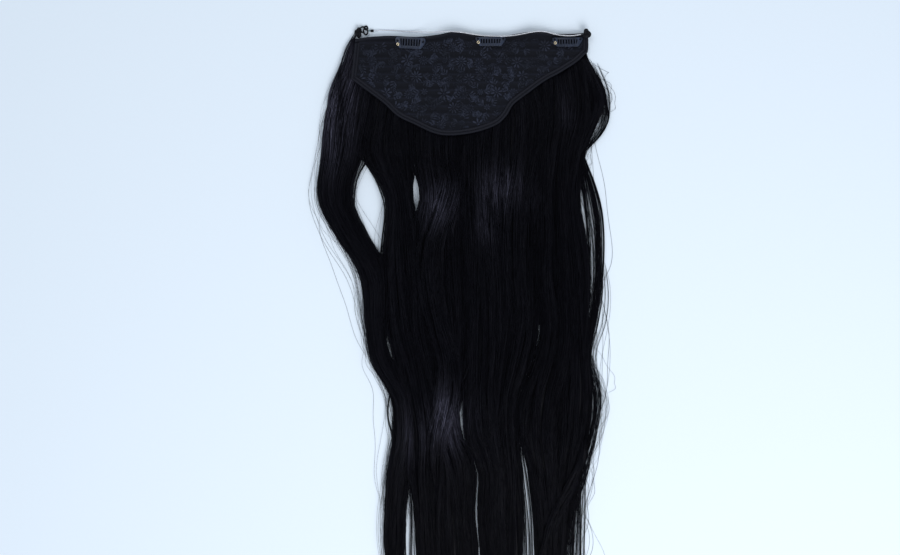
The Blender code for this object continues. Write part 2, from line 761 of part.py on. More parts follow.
def make_clip(name, across, down, degrees, rim):
    """Frame with sewing holes, comb and eyelet rivet of one clip."""
    turn = math.radians(degrees)
    x, y = across * BASE_WIDTH, row_y(down)
    seat = clip_seat(x, y, turn)
    ear = min(CLIP_EAR_RADIUS, rim)
    ear_x = CLIP_LENGTH / 2 - ear
    corner_x = CLIP_LENGTH / 2 - CLIP_CORNER_IN
    spots = []
    for side in (-1, 1):
        spots += circle(side * ear_x, rim - ear, ear, 14)
        spots += circle(side * (ear_x + ear - CLIP_EAR_RADIUS), 0.0, CLIP_EAR_RADIUS, 14)
        spots += circle(side * corner_x, CLIP_CORNER_RADIUS - CLIP_BELOW_HOLES, CLIP_CORNER_RADIUS, 14)
    spots = [s for s in spots if s.y <= rim + 1e-7]
    outline_points = [spots[k] for k in convex_hull_2d(spots)]
    frame = plate(f"clip_{name}_frame", outline_points, 0.0, CLIP_METAL)

    window_half = CLIP_HOLE_SPACING / 2 - CLIP_HOLE_RADIUS - CLIP_METAL * 2
    window_top = rim - CLIP_BAR
    window_low = CLIP_LOWER_BAR - CLIP_BELOW_HOLES
    window = [
        (-window_half, window_top),
        (-window_half + CLIP_METAL, window_low),
        (window_half - CLIP_METAL, window_low),
        (window_half, window_top),
    ]
    cutters = [plate("cutter", window, -CLIP_METAL, 2 * CLIP_METAL)]
    for side in (-1, 1):
        hole = circle(side * CLIP_HOLE_SPACING / 2, 0.0, CLIP_HOLE_RADIUS, 10)
        cutters.append(plate("cutter", hole, -CLIP_METAL, 2 * CLIP_METAL))
    apply_booleans(frame, cutters, "DIFFERENCE")

    hinge_y = rim - COMB_SETBACK
    comb = make_comb(f"clip_{name}_comb", rim)
    rivet = make_rivet(f"clip_{name}_rivet")

    to_row = Matrix.Translation((x, y, seat)) @ Matrix.Rotation(turn, 4, "Z")
    frame.matrix_world = to_row
    rivet_y = CLIP_CORNER_RADIUS - CLIP_BELOW_HOLES + RIVET_RADIUS
    rivet_x = -(window_half + CLIP_METAL + RIVET_RADIUS) + GAP
    rivet.matrix_world = to_row @ Matrix.Translation((rivet_x, rivet_y, CLIP_METAL + GAP))
    hinge = bpy.data.objects.new(f"clip_{name}_hinge", None)
    bpy.context.scene.collection.objects.link(hinge)
    hinge.matrix_world = to_row @ Matrix.Translation((0.0, hinge_y, CLIP_METAL + GAP))
    comb.parent = hinge
    finish(frame, "clip_paint")
    finish(comb, "clip_paint")
    finish(rivet, "brass")


def make_comb(name, rim):
    """Spine and teeth, with the hinge's axis along the spine's back edge."""
    half = (COMB_TEETH - 1) / 2 * COMB_PITCH + COMB_TOOTH_WIDTH
    spine = CLIP_BAR - COMB_SETBACK
    reach = rim - COMB_SETBACK + CLIP_BELOW_HOLES + COMB_OVERHANG
    points = [(-half, 0.0), (-half, -spine)]
    for tooth in range(COMB_TEETH):
        x = (tooth - (COMB_TEETH - 1) / 2) * COMB_PITCH
        root = COMB_TOOTH_WIDTH / 2
        tip = root * 0.6
        points += [(x - root, -spine), (x - tip, -reach), (x + tip, -reach), (x + root, -spine)]
    points += [(half, -spine), (half, 0.0)]
    return plate(name, points, 0.0, CLIP_METAL)


def make_rivet(name):
    """A turned eyelet."""
    middle = (RIVET_RADIUS + RIVET_HOLE_RADIUS) / 2
    section = (
        (RIVET_HOLE_RADIUS, 0.0),
        (RIVET_RADIUS, 0.0),
        (RIVET_RADIUS, RIVET_RISE * 0.4),
        (middle, RIVET_RISE),
        (RIVET_HOLE_RADIUS, RIVET_RISE * 0.6),
    )
    sides = 12
    points = []
    for k in range(sides):
        angle = math.tau * k / sides
        points += [(r * math.cos(angle), r * math.sin(angle), z) for r, z in section]
    size = len(section)
    faces = []
    for k in range(sides):
        a, b = k * size, (k + 1) % sides * size
        for s in range(size):
            after = (s + 1) % size
            faces.append([a + s, a + after, b + after, b + s])
    return mesh_object(name, points, faces)


def wire_places(outline):
    """The wire's route in metres, between the band's two corners."""
    start = outline.band_x[0] + WIRE_FROM_CORNER
    end = outline.band_x[-1] - WIRE_TO_CORNER
    return [
        (start + (end - start) * along, row_y(-beyond * EDGE_SWAY), up * WIRE_RISE)
        for along, beyond, up in WIRE_ROUTE
    ]


def make_wire(outline):
    """The clear halo wire, a tube along its smooth route."""
    route = even_rows(wire_places(outline), WIRE_POINTS, (1.0, 1.0, 1.0))
    curve = bpy.data.curves.new("halo_wire", "CURVE")
    curve.dimensions = "3D"
    curve.bevel_depth = WIRE_DIAMETER / 2
    curve.bevel_resolution = 2
    curve.use_fill_caps = True
    spline = curve.splines.new("POLY")
    spline.points.add(len(route) - 1)
    for point, place in zip(spline.points, route):
        point.co = (*place, 1.0)
    finish(add_object("halo_wire", curve), "clear_nylon")


def cylinder(name, start_x, length, y, z, radius, sides, bulge):
    """A short round piece along X, fatter at its middle by bulge."""
    rings = []
    for share, size in ((0.0, 0.8), (0.2, 1.0), (0.5, 1.0 + bulge), (0.8, 1.0), (1.0, 0.8)):
        ring = []
        for k in range(sides):
            angle = math.tau * k / sides
            r = radius * size / (1.0 + bulge)
            ring.append((start_x + share * length, y + r * math.cos(angle), z + r * math.sin(angle)))
        rings.append(ring)
    return loft(name, rings)


def make_crimp(outline):
    """Crimp bead at the wire's left end and the clear collar behind it."""
    x, y, z = wire_places(outline)[0]
    crimp_start = x - GAP - CRIMP_LENGTH
    crimp = cylinder("crimp_bead", crimp_start, CRIMP_LENGTH, y, z, CRIMP_DIAMETER / 2, 10, 0.08)
    finish(crimp, "crimp")
    collar_start = crimp_start - GAP - COLLAR_LENGTH
    collar = cylinder("wire_collar", collar_start, COLLAR_LENGTH, y, z, COLLAR_DIAMETER / 2, 8, 0.0)
    finish(collar, "collar")


def make_elastic_loop(name, centre, half_length, half_width, degrees):
    """A closed loop of elastic cord, lying flat."""
    turn = math.radians(degrees)
    radius = ELASTIC_DIAMETER / 2
    stations, sides = 14, 6
    points = []
    for k in range(stations):
        angle = math.tau * k / stations
        along = Vector((math.cos(angle) * (half_length - radius), math.sin(angle) * (half_width - radius), 0))
        out = Vector((math.cos(angle), math.sin(angle), 0))
        for s in range(sides):
            around = math.tau * s / sides
            p = along + out * (radius * math.cos(around)) + Vector((0, 0, radius * math.sin(around)))
            points.append(Matrix.Rotation(turn, 4, "Z") @ p + Vector(centre))
    faces = []
    for k in range(stations):
        a, b = k * sides, (k + 1) % stations * sides
        for s in range(sides):
            after = (s + 1) % sides
            faces.append([a + s, a + after, b + after, b + s])
    return finish(mesh_object(name, points, faces), "elastic")


def make_knot(name, centre, degrees):
    """A bundle of elastic turns: three bulges along its length."""
    turn = Matrix.Rotation(math.radians(degrees), 4, "Z")
    stations, sides, turns = 13, 8, 3
    rings = []
    for k in range(stations):
        share = k / (stations - 1)
        round_off = math.sqrt(max(1.0 - (2.0 * share - 1.0) ** 2 * 0.82, 0.0))
        bulge = 0.86 + 0.14 * math.cos(math.tau * turns * (share - 0.5 / turns))
        ring = []
        for s in range(sides):
            angle = math.tau * (s + 0.5) / sides
            y = math.cos(angle) * KNOT_WIDTH / 2 * round_off * bulge
            z = math.sin(angle) * KNOT_RISE / 2 * round_off * bulge
            ring.append(turn @ Vector(((share - 0.5) * KNOT_LENGTH, y, z)) + Vector(centre))
        rings.append(ring)
    return finish(loft(name, rings), "elastic")


def make_elastic(outline):
    """Elastic loops behind the crimp, and knots of elastic at both ends of the band."""
    start_x, start_y, _ = wire_places(outline)[0]
    for name, back, beyond, height, half_length, half_width, turn in ELASTIC_LOOPS:
        cord = ELASTIC_DIAMETER
        centre = (start_x - back * cord, start_y + beyond * cord, height * cord)
        make_elastic_loop(name, centre, half_length * cord, half_width * cord, turn)
    left = (start_x - KNOT_LENGTH * LEFT_KNOT_BACK, start_y - KNOT_LENGTH * LEFT_KNOT_BELOW, KNOT_RISE / 2)
    make_knot("left_knot", left, 75.0)
    right_x = outline.band_x[-1]
    right_y = outline.band(right_x) - HEM_WIDTH
    seat = backing_top(right_x, right_y) + GAP + BINDING_THICKNESS + GAP
    right_x -= KNOT_LENGTH * RIGHT_KNOT_IN
    right = (right_x, right_y + KNOT_LENGTH * RIGHT_KNOT_ABOVE, seat + KNOT_RISE / 2)
    make_knot("right_knot", right, -60.0)


def main():
    clear_scene()
    outline = Outline()
    make_hair(outline)
    make_base(outline)
    for clip in CLIPS:
        make_clip(*clip)
    make_wire(outline)
    make_crimp(outline)
    make_elastic(outline)


main()
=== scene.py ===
"""Halo hair extension: wavy hair in wefts under a floral lace panel, with comb clips and a clear wire."""

import copy
import math

import bpy
import numpy as np
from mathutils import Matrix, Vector


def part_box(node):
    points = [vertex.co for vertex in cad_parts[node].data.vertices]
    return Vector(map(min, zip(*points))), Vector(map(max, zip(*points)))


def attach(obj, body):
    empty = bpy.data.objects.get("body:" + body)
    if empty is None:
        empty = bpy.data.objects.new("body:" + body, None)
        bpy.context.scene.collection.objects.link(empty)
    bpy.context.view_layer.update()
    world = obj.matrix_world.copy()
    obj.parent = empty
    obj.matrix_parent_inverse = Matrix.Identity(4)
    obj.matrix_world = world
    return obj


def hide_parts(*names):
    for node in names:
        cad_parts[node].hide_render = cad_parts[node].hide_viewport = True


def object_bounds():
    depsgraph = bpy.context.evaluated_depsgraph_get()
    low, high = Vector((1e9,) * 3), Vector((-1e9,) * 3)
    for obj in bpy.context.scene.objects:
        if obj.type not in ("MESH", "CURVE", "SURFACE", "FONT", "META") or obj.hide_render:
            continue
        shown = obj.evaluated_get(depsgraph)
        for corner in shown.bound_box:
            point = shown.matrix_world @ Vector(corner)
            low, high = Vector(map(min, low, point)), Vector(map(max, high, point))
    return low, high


bl_info = {
    "name": "Halo Hair Extension",
    "version": (1, 0, 0),
    "blender": (4, 5, 0),
    "location": "3D View > Sidebar > Halo Hair",
    "description": "Builds a halo hair extension around its packed frame",
    "category": "Add Mesh",
}

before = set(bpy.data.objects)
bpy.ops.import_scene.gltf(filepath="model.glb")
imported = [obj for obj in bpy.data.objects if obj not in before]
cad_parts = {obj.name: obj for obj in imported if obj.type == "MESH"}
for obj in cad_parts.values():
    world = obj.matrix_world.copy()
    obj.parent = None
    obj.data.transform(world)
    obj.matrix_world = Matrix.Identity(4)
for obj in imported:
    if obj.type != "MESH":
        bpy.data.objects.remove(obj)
CAD_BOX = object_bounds()

# The base as the frame has it, in metres: its plan, the height of the hair under it, and where it lifts
GAP = 0.0003
ORIGIN_BELOW_EDGE = 0.050
EDGE_SWAY = 0.008
HEM_WIDTH = 0.0035
HEM_THICKNESS = 0.0026
BINDING_WIDTH = 0.0058
BINDING_THICKNESS = 0.0027
TRACK_THICKNESS = 0.0012
TRACK_SPACING = 0.0084
BACKING_AT_EDGE = 0.0035
BACKING_AT_POINT = 0.0085
HAIR_SLOPE = 0.40
LIFT = 0.003
LIFT_HALF_WIDTH = 0.027
LIFT_REACH = 0.045
LIFTED_AT = (-0.062, 0.275)

# The band's edge: across is a share of the base's width, drop a share of EDGE_SWAY
BAND_EDGE = (
    # across, drop
    (-0.485, 0.96),
    (-0.430, 0.66),
    (-0.330, 0.50),
    (-0.230, 0.64),
    (-0.140, 0.38),
    (-0.062, 0.00),
    (0.020, 0.30),
    (0.130, 0.51),
    (0.200, 0.24),
    (0.275, 0.00),
    (0.370, 0.24),
    (0.430, 0.24),
    (0.500, 0.08),
)

# The panel's far edge: across is a share of the base's width, down a share of the panel's depth
PANEL_EDGE = (
    # across, down
    (-0.503, 0.450),
    (-0.430, 0.573),
    (-0.362, 0.690),
    (-0.308, 0.805),
    (-0.240, 0.882),
    (-0.128, 0.987),
    (-0.002, 0.975),
    (0.106, 0.898),
    (0.155, 0.800),
    (0.182, 0.700),
    (0.233, 0.608),
    (0.316, 0.470),
    (0.377, 0.395),
    (0.454, 0.282),
    (0.498, 0.182),
)

# Locks of hair. Down is a share of the hair's length from the band's edge, across and half are shares
# of the base's width, rise is a share of the hair's rise
LOCKS = {
    "left_outer": (
        # down, across, half, rise
        (0.010, -0.450, 0.054, 0.12),
        (0.035, -0.449, 0.078, 0.15),
        (0.080, -0.488, 0.086, 0.24),
        (0.140, -0.526, 0.094, 0.38),
        (0.200, -0.542, 0.085, 0.52),
        (0.270, -0.570, 0.073, 0.62),
        (0.330, -0.505, 0.071, 0.60),
        (0.400, -0.410, 0.063, 0.52),
        (0.480, -0.403, 0.044, 0.48),
        (0.540, -0.375, 0.044, 0.52),
        (0.600, -0.290, 0.045, 0.58),
        (0.660, -0.278, 0.044, 0.56),
        (0.720, -0.303, 0.049, 0.48),
        (0.790, -0.319, 0.046, 0.42),
        (0.860, -0.322, 0.046, 0.36),
        (0.930, -0.305, 0.034, 0.26),
        (0.980, -0.286, 0.024, 0.10),
    ),
    "left_inner": (
        (0.080, -0.309, 0.093, 0.22),
        (0.140, -0.339, 0.093, 0.34),
        (0.200, -0.347, 0.110, 0.52),
        (0.270, -0.300, 0.061, 0.62),
        (0.330, -0.291, 0.071, 0.60),
        (0.400, -0.282, 0.087, 0.56),
        (0.480, -0.263, 0.093, 0.54),
        (0.540, -0.228, 0.092, 0.60),
        (0.600, -0.195, 0.093, 0.68),
        (0.660, -0.176, 0.087, 0.66),
        (0.720, -0.174, 0.083, 0.58),
        (0.790, -0.165, 0.067, 0.50),
        (0.860, -0.154, 0.069, 0.42),
        (0.930, -0.144, 0.051, 0.30),
        (0.995, -0.123, 0.036, 0.10),
    ),
    "middle_left": (
        (0.120, -0.140, 0.106, 0.28),
        (0.200, -0.148, 0.097, 0.54),
        (0.270, -0.123, 0.089, 0.70),
        (0.330, -0.138, 0.104, 0.68),
        (0.400, -0.136, 0.110, 0.60),
        (0.480, -0.114, 0.106, 0.58),
        (0.540, -0.106, 0.089, 0.64),
        (0.600, -0.117, 0.070, 0.74),
        (0.660, -0.102, 0.068, 0.72),
        (0.720, -0.059, 0.085, 0.62),
        (0.790, -0.051, 0.072, 0.52),
        (0.860, -0.035, 0.070, 0.44),
        (0.930, -0.025, 0.051, 0.32),
        (1.000, -0.013, 0.036, 0.10),
    ),
    "middle": (
        (0.120, 0.060, 0.106, 0.28),
        (0.200, 0.042, 0.102, 0.56),
        (0.270, 0.038, 0.097, 0.74),
        (0.330, 0.047, 0.097, 0.70),
        (0.400, 0.059, 0.102, 0.60),
        (0.480, 0.064, 0.097, 0.58),
        (0.540, 0.055, 0.089, 0.64),
        (0.600, 0.048, 0.080, 0.70),
        (0.660, 0.058, 0.086, 0.68),
        (0.720, 0.097, 0.064, 0.60),
        (0.790, 0.096, 0.065, 0.52),
        (0.860, 0.116, 0.071, 0.44),
        (0.930, 0.125, 0.053, 0.32),
        (0.998, 0.140, 0.034, 0.10),
    ),
    "middle_right": (
        (0.070, 0.200, 0.080, 0.20),
        (0.140, 0.229, 0.102, 0.42),
        (0.200, 0.220, 0.093, 0.60),
        (0.270, 0.203, 0.085, 0.70),
        (0.330, 0.199, 0.081, 0.66),
        (0.400, 0.201, 0.074, 0.58),
        (0.480, 0.212, 0.076, 0.56),
        (0.540, 0.190, 0.071, 0.60),
        (0.600, 0.154, 0.052, 0.62),
        (0.660, 0.143, 0.058, 0.60),
        (0.720, 0.158, 0.060, 0.54),
        (0.790, 0.164, 0.062, 0.48),
        (0.860, 0.169, 0.052, 0.40),
        (0.930, 0.169, 0.042, 0.28),
        (0.985, 0.169, 0.028, 0.10),
    ),
    "right_inner": (
        (0.055, 0.370, 0.070, 0.18),
        (0.140, 0.381, 0.085, 0.46),
        (0.200, 0.360, 0.081, 0.60),
        (0.270, 0.343, 0.081, 0.66),
        (0.330, 0.347, 0.085, 0.62),
        (0.400, 0.352, 0.089, 0.56),
        (0.480, 0.378, 0.080, 0.56),
        (0.540, 0.360, 0.089, 0.62),
        (0.600, 0.316, 0.100, 0.66),
        (0.660, 0.298, 0.092, 0.62),
        (0.720, 0.316, 0.074, 0.54),
        (0.790, 0.333, 0.066, 0.48),
        (0.860, 0.345, 0.070, 0.40),
        (0.930, 0.331, 0.051, 0.30),
        (0.996, 0.322, 0.034, 0.10),
    ),
    "right_outer": (
        (0.025, 0.436, 0.055, 0.14),
        (0.080, 0.458, 0.051, 0.28),
        (0.140, 0.462, 0.055, 0.44),
        (0.200, 0.422, 0.061, 0.52),
        (0.270, 0.407, 0.055, 0.56),
        (0.330, 0.426, 0.061, 0.54),
        (0.400, 0.445, 0.064, 0.50),
        (0.480, 0.442, 0.061, 0.48),
        (0.540, 0.446, 0.056, 0.52),
        (0.600, 0.447, 0.066, 0.56),
        (0.660, 0.432, 0.068, 0.54),
        (0.720, 0.403, 0.055, 0.48),
        (0.790, 0.386, 0.042, 0.42),
        (0.860, 0.373, 0.036, 0.36),
        (0.930, 0.356, 0.027, 0.26),
        (0.972, 0.339, 0.016, 0.10),
    ),
    "right_curl": (
        (0.036, 0.475, 0.017, 0.16),
        (0.069, 0.511, 0.020, 0.24),
        (0.091, 0.537, 0.024, 0.30),
        (0.111, 0.549, 0.023, 0.32),
        (0.130, 0.536, 0.023, 0.32),
        (0.152, 0.509, 0.022, 0.32),
        (0.177, 0.482, 0.024, 0.34),
        (0.203, 0.453, 0.025, 0.36),
        (0.243, 0.424, 0.018, 0.26),
    ),
    "right_thin": (
        (0.498, 0.478, 0.020, 0.24),
        (0.526, 0.493, 0.018, 0.28),
        (0.551, 0.509, 0.017, 0.30),
        (0.581, 0.531, 0.019, 0.32),
        (0.611, 0.541, 0.018, 0.32),
        (0.647, 0.527, 0.017, 0.30),
        (0.688, 0.502, 0.017, 0.30),
        (0.733, 0.472, 0.019, 0.30),
        (0.774, 0.439, 0.023, 0.30),
        (0.812, 0.417, 0.028, 0.30),
        (0.861, 0.406, 0.028, 0.28),
        (0.936, 0.388, 0.019, 0.20),
        (0.978, 0.373, 0.008, 0.10),
    ),
    "crossing": (
        (0.655, 0.478, 0.018, 0.40),
        (0.696, 0.466, 0.021, 0.52),
        (0.733, 0.436, 0.026, 0.60),
        (0.771, 0.390, 0.030, 0.62),
        (0.812, 0.335, 0.032, 0.60),
        (0.861, 0.305, 0.030, 0.46),
        (0.919, 0.288, 0.022, 0.30),
        (0.966, 0.280, 0.008, 0.14),
    ),
    "top_swirl": (
        (0.185, -0.126, 0.030, 0.36),
        (0.220, -0.096, 0.056, 0.66),
        (0.251, -0.080, 0.066, 0.84),
        (0.300, -0.112, 0.072, 0.94),
        (0.358, -0.160, 0.070, 0.86),
        (0.424, -0.166, 0.064, 0.76),
        (0.482, -0.140, 0.062, 0.76),
        (0.540, -0.096, 0.062, 0.86),
        (0.597, -0.092, 0.060, 1.00),
        (0.655, -0.122, 0.058, 0.94),
        (0.705, -0.140, 0.050, 0.74),
        (0.760, -0.140, 0.020, 0.44),
    ),
}

# Bundles of strands in each lock, strands in a bundle, and whether a dense core fills the lock
LOCK_FILL = {
    # name: bundles, strands in each, core
    "left_outer": (9, 36, True),
    "left_inner": (10, 34, True),
    "middle_left": (10, 34, True),
    "middle": (10, 34, True),
    "middle_right": (9, 34, True),
    "right_inner": (9, 36, True),
    "right_outer": (8, 34, True),
    "right_curl": (5, 30, True),
    "right_thin": (5, 12, False),
    "crossing": (5, 28, True),
    "top_swirl": (8, 36, True),
}

# Where neighbouring locks meet: the left lock, the right lock, strands over the seam, and the stretches
# that stay open, as shares of the hair's length
SEAMS = (
    ("left_outer", "left_inner", 110, ((0.213, 0.364), (0.494, 0.540), (0.738, 1.000))),
    ("left_inner", "middle_left", 100, ((0.236, 0.296),)),
    ("middle_left", "middle", 90, ((0.572, 0.676), (0.700, 1.000))),
    ("middle", "middle_right", 90, ((0.900, 1.000),)),
    ("middle_right", "right_inner", 100, ((0.437, 0.517), (0.672, 1.000))),
    ("right_inner", "right_outer", 70, ((0.930, 1.000),)),
    ("right_outer", "right_curl", 44, ((0.150, 0.240),)),
    ("right_outer", "right_thin", 24, ((0.588, 0.712),)),
)
SEAM_EASE = 0.035

# Thin veils of hair outside the locks, with columns as in LOCKS
VEILS = {
    "right_veil": (
        (0.180, 0.462, 0.008, 0.34),
        (0.210, 0.477, 0.012, 0.30),
        (0.243, 0.508, 0.014, 0.26),
        (0.276, 0.532, 0.016, 0.24),
        (0.309, 0.547, 0.016, 0.22),
        (0.358, 0.552, 0.017, 0.22),
        (0.408, 0.546, 0.017, 0.22),
        (0.457, 0.530, 0.015, 0.24),
        (0.498, 0.512, 0.012, 0.26),
        (0.530, 0.497, 0.012, 0.28),
        (0.570, 0.500, 0.012, 0.30),
    ),
    "right_inner_veil": (
        (0.190, 0.455, 0.014, 0.40),
        (0.230, 0.480, 0.020, 0.36),
        (0.290, 0.508, 0.026, 0.34),
        (0.350, 0.524, 0.030, 0.32),
        (0.420, 0.526, 0.026, 0.32),
        (0.480, 0.510, 0.018, 0.34),
        (0.540, 0.492, 0.014, 0.36),
    ),
    "right_fringe": (
        (0.380, 0.566, 0.010, 0.16),
        (0.430, 0.572, 0.016, 0.14),
        (0.480, 0.556, 0.018, 0.14),
        (0.530, 0.520, 0.014, 0.18),
        (0.580, 0.530, 0.018, 0.18),
    ),
    "right_edge_veil": (
        (0.050, 0.520, 0.016, 0.20),
        (0.090, 0.560, 0.018, 0.26),
        (0.120, 0.577, 0.014, 0.26),
        (0.150, 0.566, 0.016, 0.26),
        (0.175, 0.530, 0.014, 0.28),
        (0.192, 0.488, 0.010, 0.32),
        (0.215, 0.474, 0.010, 0.34),
        (0.280, 0.484, 0.014, 0.34),
    ),
    "curl_strand": (
        (0.090, 0.566, 0.006, 0.30),
        (0.118, 0.576, 0.004, 0.26),
        (0.138, 0.587, 0.003, 0.22),
        (0.155, 0.574, 0.003, 0.22),
        (0.172, 0.546, 0.003, 0.24),
        (0.184, 0.508, 0.004, 0.28),
        (0.194, 0.480, 0.006, 0.34),
        (0.215, 0.468, 0.006, 0.38),
    ),
    "corner_hair": (
        (0.000, -0.482, 0.006, 0.16),
        (0.012, -0.497, 0.010, 0.20),
        (0.030, -0.518, 0.014, 0.26),
        (0.060, -0.540, 0.018, 0.30),
        (0.100, -0.575, 0.022, 0.34),
        (0.150, -0.590, 0.024, 0.36),
    ),
    "left_gap_veil": (
        (0.150, -0.440, 0.020, 0.34),
        (0.205, -0.450, 0.022, 0.44),
        (0.240, -0.490, 0.016, 0.50),
        (0.290, -0.500, 0.014, 0.52),
        (0.330, -0.455, 0.016, 0.52),
        (0.370, -0.400, 0.020, 0.50),
        (0.430, -0.372, 0.020, 0.48),
    ),
    "inner_gap_veil": (
        (0.150, -0.430, 0.020, 0.34),
        (0.210, -0.425, 0.018, 0.44),
        (0.250, -0.380, 0.012, 0.54),
        (0.290, -0.352, 0.010, 0.58),
        (0.340, -0.362, 0.012, 0.56),
        (0.400, -0.372, 0.020, 0.50),
    ),
    "left_foot_veil": (
        (0.640, -0.330, 0.016, 0.40),
        (0.720, -0.262, 0.020, 0.38),
        (0.790, -0.250, 0.024, 0.34),
        (0.860, -0.252, 0.026, 0.28),
        (0.930, -0.240, 0.022, 0.20),
        (0.985, -0.225, 0.010, 0.12),
    ),
    "left_side_strand": (
        (0.570, -0.322, 0.004, 0.40),
        (0.594, -0.338, 0.003, 0.36),
        (0.614, -0.347, 0.003, 0.34),
        (0.636, -0.347, 0.003, 0.34),
        (0.656, -0.334, 0.003, 0.36),
        (0.680, -0.318, 0.004, 0.40),
    ),
    "wide_gap_veil": (
        (0.640, 0.196, 0.010, 0.40),
        (0.690, 0.208, 0.014, 0.36),
        (0.740, 0.222, 0.020, 0.32),
        (0.800, 0.236, 0.024, 0.26),
        (0.860, 0.240, 0.026, 0.22),
        (0.930, 0.235, 0.022, 0.16),
        (0.985, 0.225, 0.014, 0.10),
    ),
    "right_foot_veil": (
        (0.650, 0.480, 0.020, 0.36),
        (0.740, 0.466, 0.024, 0.32),
        (0.820, 0.457, 0.030, 0.28),
        (0.900, 0.450, 0.032, 0.22),
        (0.970, 0.425, 0.020, 0.12),
    ),
}

VEIL_STRANDS = {
    "right_veil": 84,
    "right_inner_veil": 80,
    "right_fringe": 14,
    "right_edge_veil": 40,
    "curl_strand": 26,
    "corner_hair": 70,
    "left_gap_veil": 44,
    "inner_gap_veil": 30,
    "left_foot_veil": 34,
    "left_side_strand": 12,
    "wide_gap_veil": 46,
    "right_foot_veil": 60,
}

# Loose hairs: the lock that they leave, the side, how many, and how far they stray
LOOSE_HAIRS = (
    ("left_outer", -1.0, 56, 0.0055),
    ("left_outer", 1.0, 34, 0.0050),
    ("left_inner", -1.0, 30, 0.0050),
    ("right_outer", 1.0, 56, 0.0085),
    ("right_curl", 1.0, 36, 0.0060),
    ("right_thin", 1.0, 34, 0.0065),
    ("middle_right", 1.0, 12, 0.0040),
    ("middle_left", 1.0, 10, 0.0030),
    ("top_swirl", 1.0, 16, 0.0060),
    ("top_swirl", -1.0, 16, 0.0060),
)

# Patches of painted sheen on the strands: across, down, half across, half down, strength
PAINTED_SHEEN_PATCHES = (
    (-0.136, 0.284, 0.075, 0.030, 0.75),
    (0.120, 0.255, 0.090, 0.030, 0.80),
    (0.260, 0.277, 0.035, 0.030, 0.45),
    (0.055, 0.317, 0.045, 0.030, 0.40),
    (-0.106, 0.634, 0.075, 0.042, 1.00),
    (-0.200, 0.665, 0.070, 0.040, 0.60),
    (-0.560, 0.105, 0.075, 0.090, 1.30),
    (0.420, 0.130, 0.050, 0.030, 0.35),
    (0.020, 0.630, 0.030, 0.030, 0.12),
)

# Locks that start in the open, and not under the lace
OPEN_STARTS = ("top_swirl", "crossing", "right_thin")

# Distances between the stations of a strand and of a veil's hair, the fewest that a strand has, and how
# many there are on a loose hair and along a lock's edge
STATION = 0.0122
VEIL_STATION = 0.008
FEWEST_STATIONS = 18
LOOSE_STATIONS = 30
EDGE_STATIONS = 80

# Room round a strand, and the share of their thickness that strands have in a lock without a core
STRAND_CLEARANCE = 0.0002
FINE_STRAND = 0.62

# How many strands cover the upper part of a lock of a given half width, and where they end
COVER_STRANDS = 90
COVER_HALF_WIDTH = 0.02
COVER_ENDS = (0.25, 0.60)

# Least and largest shares for the bundles in a lock
BUNDLE_SWAY = (0.06, 0.24)
BUNDLE_TURNS = (1.0, 2.8)
BUNDLE_LAYER = (-0.26, 0.10)
BUNDLE_WIDTH = (0.62, 1.05)

# Least and largest waves along a strand, and its frizz in metres
STRAND_WAVES = (4.0, 11.0)
FRIZZ_LEAST = 0.00035
FRIZZ_MORE = 0.0004

# Least and largest shares of the thickness of strands in a bundle, of fine ones over a lock and loose
# ones, and of veils
STRAND_WIDTHS = (0.65, 1.25)
FINE_WIDTHS = (0.6, 1.1)
VEIL_WIDTHS = (0.9, 1.6)

# Hairs to a clump in a veil, and how far the clumps drift apart
VEIL_CLUMP = 9
VEIL_DRIFT = 0.30

# Loose hairs: where they leave a lock and how long they run, as shares of the lock's length
LOOSE_STARTS = (0.02, 0.70)
LOOSE_LENGTHS = (0.18, 0.42)

# Shares of a lock's length: where its first wisp and its core end, how far its strands may end early, and
# over which stretch a strand thins out
FIRST_WISP_END = 0.87
CORE_END = 0.95
EARLY_END = 0.11
STRAND_FADE = 0.10

# Where the tips start to part, and how uneven they are, as shares of a lock's length
TIPS_PART = 0.86
TIP_UNEVENNESS = 0.04

# The dense core of a lock: its columns, its depth below the strands, the depth of its grooves, and the
# shares of the lock's length over which it grows and thins out
CORE_COLUMNS = 44
CORE_DEPTH = 0.0012
CORE_GROOVE = 0.0013
CORE_START = 0.14
CORE_FADE = 0.09

# How far from a lock's middle its bundles lie, as a share of its half width
BUNDLE_REACH = 0.94

# How far loose hairs may stand past the sides and the lower end of the frame's box, and how far below
# its upper end they turn back
LOOSE_ROOM = 0.0155
LOOSE_PAST_END = 0.005
LOOSE_TOP = 0.004

# Heights of the locks' undersides, by turns
LOCK_FLOORS = (0.00015, 0.00030, 0.00045, 0.00060, 0.00075, 0.00090)

# Clips: across is a share of the base's width, down is from the band's line to the sewing holes
CLIPS = (
    # name, across, down, turn in degrees
    ("left", -0.252, 0.0105, -3.0),
    ("middle", 0.086, 0.0078, 0.0),
    ("right", 0.410, 0.0084, 0.5),
)
CLIP_HOLE_SPACING = 0.0260
# Share of the frame's paint on the combs: a darker copy, painted shade
COMB_PAINTED_SHADE = 0.66

# Rounded edges of the pressed and moulded pieces: doubles closer than this merge, edges sharper than
# this many degrees are rounded
MERGE_DISTANCE = 0.00001
SHARP_EDGE = 35.0
FRAME_ROUNDING = (0.00022, 3)
COMB_ROUNDING = (0.00018, 2)
WIRE_END_ROUNDING = (0.00008, 2)

# Eyelets, as shares of their radius: the lip's ring, its thickness and its seat, and how far it is flattened
EYELET_RING = 0.70
EYELET_LIP = 0.30
EYELET_SEAT = 0.16
EYELET_FLATNESS = 0.62

# Thread through the clips' holes: how far its loops reach, how deep they start, how high they arch over the
# frame, how thick they are, and how they fan out
SEWING_REACH = 0.0036
SEWING_DEPTH = 0.0006
SEWING_ARCH = 0.0010
SEWING_RADIUS = 0.00017
SEWING_FAN = (-1.15, -0.55, 0.0, 0.55, 1.15)

